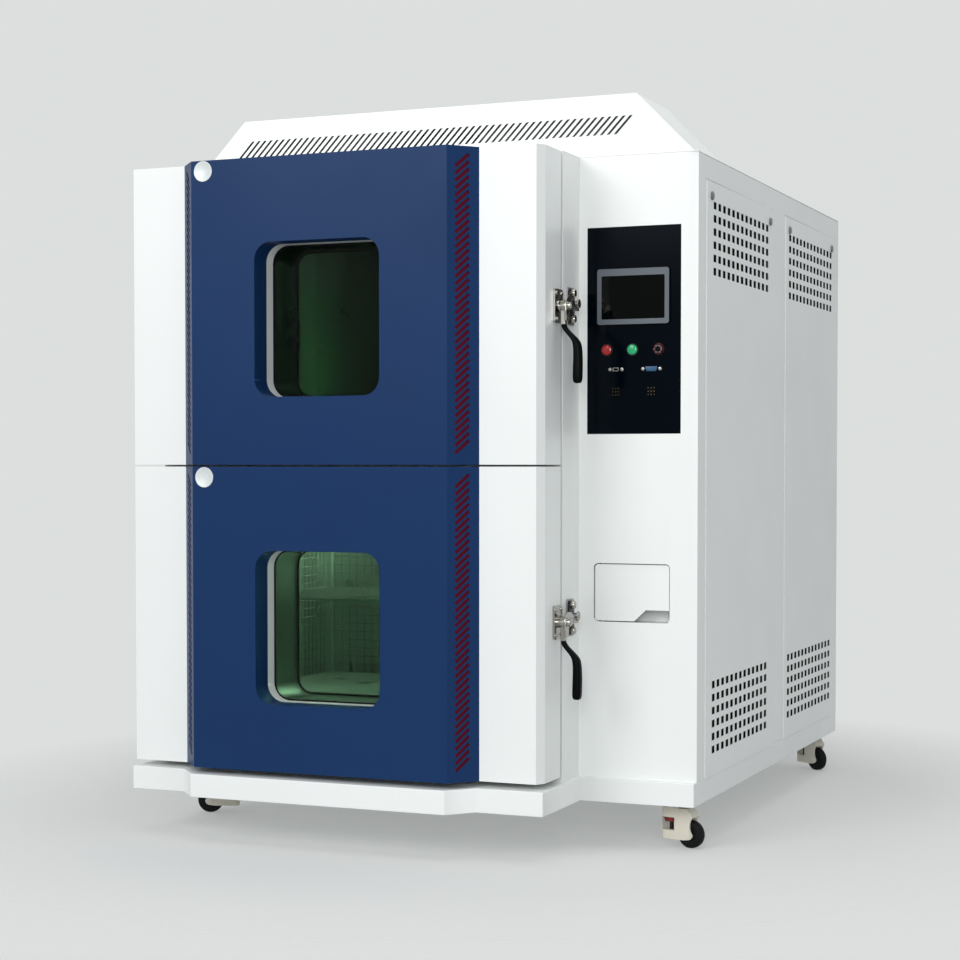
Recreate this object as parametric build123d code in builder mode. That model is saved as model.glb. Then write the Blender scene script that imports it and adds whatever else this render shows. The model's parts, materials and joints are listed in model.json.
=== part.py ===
"""Two-zone thermal shock test chamber: hot zone above, cold zone below, a basket that moves between them.

Millimetres. +Z is up, the two doors face -Y, and +X is to the right of someone facing them.
The origin is on the floor, at the centre of the whole object's outline.
"""

import os
from math import cos, radians, sin

from build123d import *

os.makedirs("parts", exist_ok=True)

# Overall cabinet
cabinet_width = 1570
cabinet_depth = 1694
body_height = 1692
plinth_height = 65
caster_height = 125
sheet = 2
seam = 0.5
running_gap = 0.05
curve_gap = 0.3

# Steps of the front, from the fascia back to the control column
plinth_lip = 20
plinth_side_lip = 12
fascia_depth = 70
door_thickness = 145
gasket_thickness = 13
body_step = 130

# What stands out beyond the cabinet's two sides
hinge_pin_radius = 4
hinge_knuckle_radius = 8
hinge_reach = 2 * hinge_knuckle_radius + curve_gap
panel_proud = 3
lock_head_height = 5

overall_width = cabinet_width + hinge_reach + panel_proud + lock_head_height
overall_depth = (
    plinth_lip + fascia_depth + door_thickness + gasket_thickness + body_step + cabinet_depth
)

x_left = hinge_reach - overall_width / 2
x_right = x_left + cabinet_width
y_fascia = plinth_lip - overall_depth / 2
y_slab = y_fascia + fascia_depth
y_door_back = y_slab + door_thickness
y_body = y_door_back + gasket_thickness
y_column = y_body + body_step
y_rear = y_column + cabinet_depth
z_plinth = caster_height
z_body = z_plinth + plinth_height
z_roof = z_body + body_height

# Doors
door_width = 1235
door_height = 834
door_gap = 5
door_lift = 16
door_sheet = 1.5
door_chamfer_side = 15
door_chamfer_depth = 27
x_step = x_left + door_width
z_lower_door = z_body + door_lift
z_upper_door = z_lower_door + door_height + door_gap
z_split = z_upper_door - door_gap / 2

# Blue fascia, its windows and its slotted bevels
fascia_width = 767
fascia_bevel = 63
fascia_centre = x_left + 613
fascia_sheet = 2
window_width = 376
window_height = 420
window_radius = 50
window_rise = 394.5
window_ledge = 3
pane_recess = 38
pane_thickness = 6
pane_margin = 10
slot_pitch = 19.2
slot_rise = 33
slot_run = 39
slot_width = 9.5
slot_edge = 25
slot_count = 40
slot_shift = 5
x_fascia_left = fascia_centre - fascia_width / 2
x_fascia_right = fascia_centre + fascia_width / 2

# Insulated cell behind the doors
cell_wall = 137.5
cell_depth = 860
cell_back_wall = 120
liner_sheet = 1.5
divider_thickness = 150
basket_plate = 60
basket_room = 620
basket_margin = 80
basket_depth = 560
basket_width = door_width - 2 * (cell_wall + basket_margin)
basket_front_room = 60
basket_side_gap = 6
basket_stop = 20
work_depth = 700
plug_depth = 20
plug_gap = 10
gasket_margin = 12
gasket_width = 24
x_cell_left = x_left + cell_wall
x_cell_right = x_step - cell_wall
x_cell = (x_cell_left + x_cell_right) / 2
y_cell_back = y_body + cell_depth
y_cell_end = y_cell_back + cell_back_wall
y_baffle = y_body + work_depth
z_cold_top = z_split - divider_thickness / 2
z_hot_floor = z_split + divider_thickness / 2
basket_stroke = basket_room + basket_plate
basket_height = basket_room + 2 * basket_plate
z_basket = z_split + basket_plate / 2 - basket_height
z_cold_floor = z_basket - basket_stop
z_hot_top = z_basket + basket_stroke + basket_height + basket_stop / 2
y_basket_front = y_body + basket_front_room
y_basket = y_basket_front + basket_depth / 2

# Control column
corner_strip = 28
corner_strip_depth = 6
panel_width = 266
panel_height = 560
panel_left_margin = 23
panel_base = z_body + 938.5
panel_thickness = 5
panel_margin = 12
x_panel = x_step + panel_left_margin + panel_width / 2
z_panel = panel_base + panel_height / 2
bezel_width = 203
bezel_height = 150
bezel_rise = 91
bezel_proud = 8
bezel_border = 13
bezel_drop = 5
screen_recess = 1
screen_height = 115
button_spacing = 73
button_shift = -2
button_drop = 52.5
button_radius = 14
button_stem_radius = 10
button_ring_radius = 16
button_proud = 12
button_edge = 1
port_spacing = 101
port_drop = 105
usb_width = 16
usb_height = 9
serial_width = 32
serial_height = 13
protector_drop = 165.5
protector_radius = 8

# Access flap and the tray behind it
flap_width = 217
flap_height = 160
flap_radius = 12
flap_gap = 3
flap_sheet = 2
flap_inset = 4
flap_left_margin = 43
flap_base = z_body + 427
notch_width = 99
notch_slant = 33
notch_height = 31
tray_depth = 60
flap_pin_radius = 2
flap_pin_inset = 20
flap_pin_setback = 5
flap_ear_width = 12
flap_ear_depth = 10
x_flap = x_step + flap_left_margin + flap_width / 2
z_flap = flap_base + flap_height / 2

# Right-hand side: frame, two lift-off panels, vent grids and quarter-turn locks
top_rail = 65.5
front_post = 77
panel_one_width = 721
middle_post = 149
panel_two_width = 675
panel_reveal = 2
panel_flange = 15
panel_sheet = 1.5
vent_columns = 13
vent_rows = 6
vent_pitch_y = 46.9
vent_pitch_z = 35.9
vent_hole_y = 31
vent_hole_z = 20.6
vent_top_drop = 154
vent_base_rise = 160.5
lock_inset = 46
lock_drop = 41
lock_head_radius = 12
lock_shaft_radius = 8
lock_edge = 2
lock_slot_width = 4
lock_slot_depth = 2
lock_cam_length = 62
lock_cam_width = 14
lock_cam_thickness = 3

# Roof hood
hood_height = 166
hood_depth = 275
hood_setback = 15
hood_left_inset = 26
hood_right_inset = 13
hood_end_run = 164
hood_slot_pitch = 20
hood_slot_count = 59
hood_slot_run = 46.5
hood_slot_rise = 49
hood_slot_base = 58.5
hood_slot_width = 9
hood_slot_left = 141

# Door hinges
hinge_leaf_width = 60
hinge_leaf_height = 120
hinge_leaf_thickness = 5
hinge_knuckle_gap = 0.5
hinge_end_margin = 110
x_hinge = x_left - hinge_knuckle_radius - curve_gap
y_hinge = y_body - gasket_thickness / 2

# Door latches
latch_rise = 3
latch_plate_width = 60
latch_plate_height = 90
latch_plate_thickness = 6
latch_plate_margin = 2
latch_pivot_inset = 34
latch_pivot_radius = 6
latch_boss_radius = 15
latch_boss_height = 8
latch_head_radius = 10
latch_head_height = 3
lever_hub_radius = 15
lever_thickness = 12
lever_arm_height = 11
lever_arm_past = 14
lever_side_gap = 0.5
lever_neck_width = 16
roller_setback = 42
roller_rise = 12
roller_radius = 8
roller_gap = 0.8
keeper_inset = 28
keeper_width = 48
keeper_height = 100
keeper_rise = 6
keeper_thickness = 5
grip_drop = 49
grip_length = 157
grip_width = 26
grip_thickness = 17
grip_neck = 14
grip_offset = 42
grip_bend = 48

# Basket lift
rod_radius = 10
rod_inset = 40
rope_radius = 3
rope_hole_radius = 6
drum_radius = 40
drum_flange_radius = 50
drum_width = 60
drum_rise = 62
drum_shaft_radius = 10
lift_motor_length = 170
lift_motor_size = 100
lift_seat_depth = 40
bearing_thickness = 20
bearing_width = 80
bearing_gap = 5
rope_lug_radius = 12
rope_lug_height = 8
shelf_rise = 270
shelf_bars = 14
shelf_bar_pitch = 38
shelf_bar = 6
shelf_rail = 12
basket_post = 20
basket_sheet = 2
rod_boss_radius = 18

# Fans and the air treatment behind the baffles
fan_radius = 130
fan_depth = 60
fan_hub_radius = 34
fan_blades = 8
fan_shaft_radius = 10
fan_shaft_hole = 16
fan_motor_radius = 75
fan_motor_length = 190
fan_seat_depth = 60
fan_baffle_gap = 30
fan_blade_thickness = 3
fan_blade_tilt = 35
motor_flange = 180
motor_flange_thickness = 6
terminal_box = 60
coil_height = 450
coil_depth = 90
coil_side_gap = 40
coil_fan_gap = 50
coil_fins = 8
coil_fin_thickness = 2
coil_header = 14
coil_header_rise = 150
heater_rods = 5
heater_rod_radius = 6

# Machinery bay and electrical box
compressor_radius = 100
compressor_height = 300
compressor_shoulder = 33
compressor_y = 700
compressor_x = (-480, -130)
receiver_radius = 65
receiver_height = 360
receiver_x = 180
condenser_size = (60, 500, 420)
condenser_inset = 120
condenser_frame = 20
condenser_fan_gap = 15
condenser_motor_radius = 50
condenser_motor_length = 110
condenser_seat_depth = 40
condenser_foot = 60
box_width = 220
box_depth = 350
box_setback = 150
box_base = 710
box_height = 850

# Levelling casters
caster_side_inset = 82
caster_front_inset = 85
caster_rear_inset = 71
caster_plate_size = 90
caster_plate_thickness = 6
caster_neck_radius = 27
caster_neck_height = 11
kingpin_radius = 8
wheel_radius = 38
wheel_width = 28
wheel_trail = 50
wheel_side_gap = 1.5
wheel_axle_radius = 5
yoke_arm = 5
foot_stem_radius = 6
foot_pad_radius = 17
foot_pad_height = 10
foot_clearance = 22
foot_recess_gap = 1
thumbwheel_radius = 18
thumbwheel_height = 11
thumbwheel_top = 80
foot_inset = 13
foot_stem_top = 98
yoke_front = 36
yoke_base = 22
yoke_shoulder = 46
yoke_fender_back = 66
yoke_fender_base = 88
yoke_lug = 14
yoke_waist = 56
yoke_round = 12
yoke_slot_front = 9
yoke_slot_top = 82
yoke_window_base = 46
yoke_window_top = 81
yoke_window_front = 32
yoke_window_back = 8
axle_head_radius = 9
axle_head_height = 3
wheel_chamfer = 3
kingpin_gap = 1
caster_angles = {"front_right": -15, "front_left": 200, "rear_right": -35, "rear_left": 165}


def block(x0, x1, y0, y1, z0, z1, mode=Mode.ADD):
    """A straight-sided block between two corners, added to or cut from the part being built."""
    with Locations(((x0 + x1) / 2, (y0 + y1) / 2, (z0 + z1) / 2)):
        Box(x1 - x0, y1 - y0, z1 - z0, mode=mode)


def keep(piece, name):
    """Labels a finished sub-part and writes it to its own STEP file."""
    piece.part.label = name
    export_step(piece.part, f"parts/{name}.step")


def facing_front(y):
    """Sketch plane at depth y, seen from the front: local x is X, local y is Z, extrusion goes to -Y."""
    return Plane.XZ.offset(-y)


def facing_right(x):
    """Sketch plane at x, seen from the right: local x is Y, local y is Z, extrusion goes to +X."""
    return Plane.YZ.offset(x)


# Base plinth: a closed sheet-metal box that follows the stepped front
y_plinth_slab = y_slab - plinth_lip
plinth_outline = [
    (x_left, y_rear),
    (x_left, y_plinth_slab),
    (x_fascia_left - fascia_bevel, y_plinth_slab),
    (x_fascia_left, y_fascia - plinth_lip),
    (x_fascia_right, y_fascia - plinth_lip),
    (x_fascia_right + fascia_bevel, y_plinth_slab),
    (x_step + plinth_side_lip, y_plinth_slab),
    (x_step + plinth_side_lip, y_column - plinth_lip),
    (x_right, y_column - plinth_lip),
    (x_right, y_rear),
]
plinth_wall = 3
with BuildPart() as base_plinth:
    with BuildSketch(Plane.XY.offset(z_plinth)):
        with BuildLine():
            Polyline(*plinth_outline, close=True)
        make_face()
    extrude(amount=plinth_height)
    with BuildSketch(Plane.XY.offset(z_plinth + plinth_wall)):
        with BuildLine():
            Polyline(*plinth_outline, close=True)
        make_face()
        offset(amount=-plinth_wall, kind=Kind.INTERSECTION)
    extrude(amount=plinth_height - 2 * plinth_wall, mode=Mode.SUBTRACT)
keep(base_plinth, "base_plinth")

# Cladding: roof, left side, rear, chamber side and the frame round the two door openings.
# The sheets are separate solids with a fine seam between them.
z_cladding_top = z_roof - sheet - seam
x_clad_left = x_left + sheet
x_clad_step = x_step - sheet
y_frame_back = y_body + sheet
with BuildPart() as cabinet_cladding:
    with BuildSketch(Plane.XY.offset(z_roof - sheet)):
        with BuildLine():
            Polyline(
                (x_left, y_body),
                (x_step, y_body),
                (x_step, y_column),
                (x_right, y_column),
                (x_right, y_rear),
                (x_left, y_rear),
                close=True,
            )
        make_face()
        with Locations((x_cell, y_basket)):
            Circle(rope_hole_radius, mode=Mode.SUBTRACT)
    extrude(amount=sheet)
    block(x_left, x_clad_left, y_frame_back + seam, y_rear - sheet - seam, z_body, z_cladding_top)
    block(x_left, x_right, y_rear - sheet, y_rear, z_body, z_cladding_top)
    block(x_clad_step, x_step, y_frame_back + seam, y_cell_end, z_body, z_cladding_top)
    # The frame round the door openings: two posts and three rails
    for x0, x1 in ((x_left, x_cell_left), (x_cell_right, x_step)):
        block(x0, x1, y_body, y_frame_back, z_body, z_cladding_top)
    for z0, z1 in ((z_body, z_cold_floor), (z_cold_top, z_hot_floor), (z_hot_top, z_cladding_top)):
        block(x_cell_left + seam, x_cell_right - seam, y_body, y_frame_back, z0, z1)
    # Vent grids of the machinery bay, near the top and the foot of the rear sheet
    with BuildSketch(facing_front(y_rear)):
        for x in ((x_left + x_cell) / 2, (x_right + x_cell) / 2):
            for z in (z_roof - top_rail - vent_top_drop, z_body + vent_base_rise):
                with Locations((x, z)):
                    with GridLocations(vent_pitch_y, vent_pitch_z, vent_columns, vent_rows):
                        Rectangle(vent_hole_y, vent_hole_z)
    extrude(amount=sheet, mode=Mode.SUBTRACT)
keep(cabinet_cladding, "cabinet_cladding")

# Insulation: one slab for each wall, and four round the basket's passage in the divider
x_foam_left = x_cell_left - liner_sheet
x_foam_right = x_cell_right + liner_sheet
y_foam_back = y_cell_back + liner_sheet
z_foam_floor = z_cold_floor - liner_sheet
z_foam_top = z_hot_top + liner_sheet
passage_x0 = x_cell - basket_width / 2 - basket_side_gap
passage_x1 = x_cell + basket_width / 2 + basket_side_gap
passage_y0 = y_basket_front - basket_side_gap
passage_y1 = y_basket_front + basket_depth + basket_side_gap
divider_z0 = z_cold_top + liner_sheet
divider_z1 = z_hot_floor - liner_sheet
fan_levels = ((z_cold_floor + z_cold_top) / 2, (z_hot_floor + z_hot_top) / 2)
with BuildPart() as chamber_insulation:
    block(x_clad_left, x_foam_left, y_frame_back, y_cell_end, z_body, z_cladding_top)
    block(x_foam_right, x_clad_step, y_frame_back, y_cell_end, z_body, z_cladding_top)
    x0 = x_foam_left + seam
    x1 = x_foam_right - seam
    block(x0, x1, y_frame_back, y_cell_end, z_body, z_foam_floor)
    with BuildSketch(Plane.XY.offset(z_foam_top)):
        with Locations(((x0 + x1) / 2, (y_frame_back + y_cell_end) / 2)):
            Rectangle(x1 - x0, y_cell_end - y_frame_back)
        with Locations((x_cell, y_basket)):
            Circle(rope_hole_radius, mode=Mode.SUBTRACT)
    extrude(amount=z_cladding_top - z_foam_top)
    with BuildSketch(facing_front(y_foam_back)):
        z0 = z_foam_floor + seam
        z1 = z_foam_top - seam
        with Locations(((x0 + x1) / 2, (z0 + z1) / 2)):
            Rectangle(x1 - x0, z1 - z0)
        with Locations(*[(x_cell, z) for z in fan_levels]):
            Circle(fan_shaft_hole, mode=Mode.SUBTRACT)
    extrude(amount=y_foam_back - y_cell_end)
    y_front_strip = passage_y0 - liner_sheet
    y_rear_strip = passage_y1 + liner_sheet
    block(x0, x1, y_frame_back, y_front_strip, divider_z0, divider_z1)
    block(x0, x1, y_rear_strip, y_foam_back - seam, divider_z0, divider_z1)
    y0 = y_front_strip + seam
    y1 = y_rear_strip - seam
    block(x0, passage_x0 - liner_sheet, y0, y1, divider_z0, divider_z1)
    block(passage_x1 + liner_sheet, x1, y0, y1, divider_z0, divider_z1)
keep(chamber_insulation, "chamber_insulation")

# Stainless liner: two open-fronted boxes welded to the sleeve of the passage between them
with BuildPart() as chamber_liner:
    for z_low, z_high in ((z_cold_floor, z_cold_top), (z_hot_floor, z_hot_top)):
        block(
            x_foam_left,
            x_foam_right,
            y_frame_back,
            y_foam_back,
            z_low - liner_sheet,
            z_high + liner_sheet,
        )
    block(
        passage_x0 - liner_sheet,
        passage_x1 + liner_sheet,
        passage_y0 - liner_sheet,
        passage_y1 + liner_sheet,
        divider_z0,
        divider_z1,
    )
    for z_low, z_high in ((z_cold_floor, z_cold_top), (z_hot_floor, z_hot_top)):
        block(
            x_cell_left,
            x_cell_right,
            y_frame_back - sheet,
            y_cell_back,
            z_low,
            z_high,
            mode=Mode.SUBTRACT,
        )
    block(
        passage_x0,
        passage_x1,
        passage_y0,
        passage_y1,
        z_cold_top - liner_sheet,
        z_hot_floor + liner_sheet,
        mode=Mode.SUBTRACT,
    )
    with BuildSketch(facing_front(y_foam_back)):
        with Locations(*[(x_cell, z) for z in fan_levels]):
            Circle(fan_shaft_hole)
    extrude(amount=2 * liner_sheet, mode=Mode.SUBTRACT)
    with BuildSketch(Plane.XY.offset(z_foam_top)):
        with Locations((x_cell, y_basket)):
            Circle(rope_hole_radius)
    extrude(amount=-2 * liner_sheet, mode=Mode.SUBTRACT)
keep(chamber_liner, "chamber_liner")

# Air treatment: a slotted baffle across the back of each zone, with the coils behind it
baffle_slot_height = 60
baffle_slot_width = 12
baffle_slot_pitch = 80
baffle_slot_columns = 10
baffle_slot_inset = 80
coil_spans = (
    (x_cell_left + coil_side_gap, x_cell - fan_radius - coil_fan_gap),
    (x_cell + fan_radius + coil_fan_gap, x_cell_right - coil_side_gap),
)
y_coil = y_cell_back - coil_depth
with BuildPart() as air_treatment:
    for z_low, z_high in ((z_cold_floor, z_cold_top), (z_hot_floor, z_hot_top)):
        with BuildSketch(facing_front(y_baffle + liner_sheet)):
            with Locations((x_cell, (z_low + z_high) / 2)):
                Rectangle(x_cell_right - x_cell_left, z_high - z_low)
            for z_row in (z_low + baffle_slot_inset, z_high - baffle_slot_inset):
                with Locations((x_cell, z_row)):
                    with GridLocations(baffle_slot_pitch, 1, baffle_slot_columns, 1):
                        Rectangle(baffle_slot_width, baffle_slot_height, mode=Mode.SUBTRACT)
        extrude(amount=liner_sheet)
    for x0, x1 in coil_spans:
        # Evaporator of the cold zone: upright fins on four square headers
        z_coil = fan_levels[0]
        fin_pitch = (x1 - x0 - coil_fin_thickness) / (coil_fins - 1)
        with Locations(((x0 + x1) / 2, y_cell_back - coil_depth / 2, z_coil)):
            with GridLocations(fin_pitch, 1, coil_fins, 1):
                Box(coil_fin_thickness, coil_depth, coil_height)
        for z in (z_coil - coil_header_rise, z_coil + coil_header_rise):
            for y in (y_coil + coil_header, y_cell_back - coil_header):
                with Locations(((x0 + x1) / 2, y, z)):
                    Box(x1 - x0, coil_header, coil_header)
        # Heater of the hot zone: straight rods between two end plates
        z_coil = fan_levels[1]
        for x in (x0, x1 - coil_fin_thickness):
            block(
                x,
                x + coil_fin_thickness,
                y_coil,
                y_cell_back,
                z_coil - coil_height / 2,
                z_coil + coil_height / 2,
            )
        with BuildSketch(facing_right(x0)):
            with Locations((y_cell_back - coil_depth / 2, z_coil)):
                with GridLocations(1, coil_height / heater_rods, 1, heater_rods):
                    Circle(heater_rod_radius)
        extrude(amount=x1 - x0)
keep(air_treatment, "air_treatment")

# Roof hood: a folded box over the lift drive, with slanted ends and a row of slanted louvre slots
x_hood_left = x_left + hood_left_inset
x_hood_right = x_right - hood_right_inset
y_hood = y_column + hood_setback
with BuildPart() as roof_hood:
    with BuildSketch(facing_front(y_hood + hood_depth)):
        with BuildLine():
            Polyline(
                (x_hood_left, z_roof),
                (x_hood_left + hood_end_run, z_roof + hood_height),
                (x_hood_right - hood_end_run, z_roof + hood_height),
                (x_hood_right, z_roof),
                close=True,
            )
        make_face()
    extrude(amount=hood_depth)
    offset(amount=-sheet, openings=roof_hood.faces().sort_by(Axis.Z)[0])
    with BuildSketch(facing_front(y_hood + sheet)):
        for i in range(hood_slot_count):
            x_bottom = x_hood_left + hood_slot_left + i * hood_slot_pitch
            z_bottom = z_roof + hood_slot_base
            with BuildLine():
                Polyline(
                    (x_bottom, z_bottom),
                    (x_bottom + hood_slot_width, z_bottom),
                    (x_bottom + hood_slot_width + hood_slot_run, z_bottom + hood_slot_rise),
                    (x_bottom + hood_slot_run, z_bottom + hood_slot_rise),
                    close=True,
                )
            make_face()
    extrude(amount=sheet, mode=Mode.SUBTRACT)
keep(roof_hood, "roof_hood")

# Control column: a folded front sheet with the panel's window, the flap's opening and its tray
y_column_back = y_column + sheet
x_column_flat = x_right - corner_strip
x_flap_left = x_flap - flap_width / 2
x_flap_right = x_flap + flap_width / 2
z_flap_base = z_flap - flap_height / 2
x_flap_pin = x_flap_left + flap_gap + flap_pin_inset
y_flap_back = y_column + flap_inset + flap_sheet
y_flap_pin = y_flap_back + flap_pin_setback
tray_wall = 2
with BuildPart() as front_column:
    with BuildSketch(Plane.XY.offset(z_body)):
        with BuildLine():
            Polyline(
                (x_step, y_column),
                (x_column_flat, y_column),
                (x_right, y_column + corner_strip_depth),
                (x_right, y_column_back + corner_strip_depth),
                (x_column_flat, y_column_back),
                (x_step, y_column_back),
                close=True,
            )
        make_face()
    extrude(amount=z_cladding_top - z_body)
    with BuildSketch(facing_front(y_column_back)):
        with Locations((x_panel, z_panel)):
            Rectangle(panel_width, panel_height)
        with Locations((x_flap, z_flap)):
            RectangleRounded(flap_width, flap_height, flap_radius)
    extrude(amount=sheet, mode=Mode.SUBTRACT)
    with BuildSketch(facing_front(y_column_back + tray_depth)):
        with Locations((x_flap, z_flap)):
            RectangleRounded(
                flap_width + 2 * tray_wall, flap_height + 2 * tray_wall, flap_radius + tray_wall
            )
    extrude(amount=tray_depth)
    with BuildSketch(facing_front(y_column_back + tray_depth - tray_wall)):
        with Locations((x_flap, z_flap)):
            RectangleRounded(flap_width, flap_height, flap_radius)
    extrude(amount=tray_depth, mode=Mode.SUBTRACT)
    for z_wall in (z_flap_base, z_flap_base + flap_height):
        with Locations((x_flap_pin, y_flap_pin, z_wall)):
            Cylinder(flap_pin_radius + running_gap, 2 * tray_wall, mode=Mode.SUBTRACT)
keep(front_column, "front_column")

# Access flap: a rounded cover with a finger notch, on two pins in the tray's top and bottom walls
flap_x1 = x_flap_right - flap_gap
flap_z0 = z_flap_base + flap_gap
flap_z1 = z_flap_base + flap_height - flap_gap
with BuildPart() as access_flap:
    with BuildSketch(facing_front(y_flap_back)):
        with Locations((x_flap, z_flap)):
            RectangleRounded(
                flap_width - 2 * flap_gap, flap_height - 2 * flap_gap, flap_radius - flap_gap
            )
        with BuildLine():
            Polyline(
                (flap_x1, flap_z0),
                (flap_x1 - notch_width, flap_z0),
                (flap_x1 - notch_width + notch_slant, flap_z0 + notch_height),
                (flap_x1, flap_z0 + notch_height),
                close=True,
            )
        make_face(mode=Mode.SUBTRACT)
    extrude(amount=flap_sheet)
    ear_x0 = x_flap_pin - flap_ear_width / 2
    ear_x1 = x_flap_pin + flap_ear_width / 2
    ear_y0 = y_flap_back
    for z_low, z_pin in ((flap_z0, z_flap_base), (flap_z1 - flap_sheet, z_flap_base + flap_height)):
        block(ear_x0, ear_x1, ear_y0, ear_y0 + flap_ear_depth, z_low, z_low + flap_sheet)
        with Locations((x_flap_pin, y_flap_pin, z_pin)):
            Cylinder(flap_pin_radius, 2 * (flap_gap + flap_sheet))
keep(access_flap, "access_flap")

# Control panel: a black plate behind the column's window, bored for its switches and ports
y_plate = y_column_back
z_bezel = z_panel + bezel_rise
z_buttons = z_panel - button_drop
z_ports = z_panel - port_drop
z_protectors = z_panel - protector_drop
button_x = [x_panel + button_shift + i * button_spacing for i in (-1, 0, 1)]
port_x = [x_panel - port_spacing / 2, x_panel + port_spacing / 2]
module_width = bezel_width - 2 * bezel_border
module_height = bezel_height - 2 * bezel_border
with BuildPart() as control_panel:
    with BuildSketch(facing_front(y_plate + panel_thickness)):
        with Locations((x_panel, z_panel)):
            Rectangle(panel_width + 2 * panel_margin, panel_height + 2 * panel_margin)
        with Locations((x_panel, z_bezel)):
            Rectangle(module_width, module_height, mode=Mode.SUBTRACT)
        with Locations(*[(x, z_buttons) for x in button_x[:2]]):
            Circle(button_stem_radius + running_gap, mode=Mode.SUBTRACT)
    extrude(amount=panel_thickness)
keep(control_panel, "control_panel")

# Instruments on the panel: touch screen, button collars with their switch blocks, buzzer, ports
collar_height = 6
switch_block_radius = 15
switch_block_depth = 35
switch_bore_depth = 25
module_depth = 45
port_proud = 3
buzzer_height = 10
buzzer_taper = 10
port_wall = 2
with BuildPart() as panel_instruments:
    with BuildSketch(facing_front(y_plate)):
        with Locations((x_panel, z_bezel)):
            RectangleRounded(bezel_width, bezel_height, bezel_border / 2)
    extrude(amount=bezel_proud)
    with BuildSketch(facing_front(y_plate + module_depth)):
        with Locations((x_panel, z_bezel)):
            Rectangle(module_width - 2 * seam, module_height - 2 * seam)
    extrude(amount=module_depth)
    with BuildSketch(facing_front(y_plate - bezel_proud + screen_recess)):
        with Locations((x_panel, z_bezel - bezel_drop / 2)):
            Rectangle(bezel_width - 2 * bezel_border, screen_height)
    extrude(amount=screen_recess, mode=Mode.SUBTRACT)
    for x in button_x[:2]:
        with BuildSketch(facing_front(y_plate)):
            with Locations((x, z_buttons)):
                Circle(button_ring_radius)
                Circle(button_radius + running_gap, mode=Mode.SUBTRACT)
        extrude(amount=collar_height)
        with BuildSketch(facing_front(y_plate + panel_thickness + switch_block_depth)):
            with Locations((x, z_buttons)):
                Circle(switch_block_radius)
        extrude(amount=switch_block_depth)
        with BuildSketch(facing_front(y_plate + panel_thickness + switch_bore_depth)):
            with Locations((x, z_buttons)):
                Circle(button_stem_radius + running_gap)
        extrude(amount=switch_bore_depth, mode=Mode.SUBTRACT)
    with BuildSketch(facing_front(y_plate)):
        with Locations((button_x[2], z_buttons)):
            Circle(button_ring_radius)
    extrude(amount=buzzer_height, taper=buzzer_taper)
    for x, width, height in (
        (port_x[0], usb_width, usb_height),
        (port_x[1], serial_width, serial_height),
    ):
        with BuildSketch(facing_front(y_plate)):
            with Locations((x, z_ports)):
                Rectangle(width + 2 * port_wall, height + 2 * port_wall)
                Rectangle(width, height, mode=Mode.SUBTRACT)
        extrude(amount=port_proud)
    with BuildSketch(facing_front(y_plate)):
        with Locations(*[(x, z_protectors) for x in port_x]):
            Circle(protector_radius)
    extrude(amount=port_proud)
keep(panel_instruments, "panel_instruments")

# Push buttons: a cap in its collar on a stem that runs through the panel into its switch block
button_cap_height = 7
button_stem_depth = 19
for name, x in (("stop_button", button_x[0]), ("start_button", button_x[1])):
    with BuildPart() as button:
        with BuildSketch(facing_front(y_plate - button_proud + button_cap_height)):
            with Locations((x, z_buttons)):
                Circle(button_radius)
        extrude(amount=button_cap_height)
        chamfer(button.faces().sort_by(Axis.Y)[0].edges(), button_edge)
        with BuildSketch(facing_front(y_plate + panel_thickness + button_stem_depth)):
            with Locations((x, z_buttons)):
                Circle(button_stem_radius)
        extrude(amount=panel_thickness + button_stem_depth + button_proud - button_cap_height)
    keep(button, name)

# Right-hand frame: corner post, top rail, middle post and rear post round two openings
y_frame = y_column_back + corner_strip_depth + seam
y_frame_end = y_rear - sheet - seam
z_panel_top = z_roof - top_rail
y_panel_one = y_column + front_post
y_panel_two = y_panel_one + panel_one_width + middle_post
panel_spans = ((y_panel_one, panel_one_width), (y_panel_two, panel_two_width))
frame_return = 18
with BuildPart() as right_side_frame:
    with BuildSketch(facing_right(x_right - frame_return)):
        with Locations(((y_frame + y_frame_end) / 2, (z_body + z_cladding_top) / 2)):
            Rectangle(y_frame_end - y_frame, z_cladding_top - z_body)
        for y, width in panel_spans:
            with Locations((y + width / 2, (z_body + z_panel_top) / 2)):
                Rectangle(width, z_panel_top - z_body, mode=Mode.SUBTRACT)
    extrude(amount=frame_return)
keep(right_side_frame, "right_side_frame")

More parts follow.
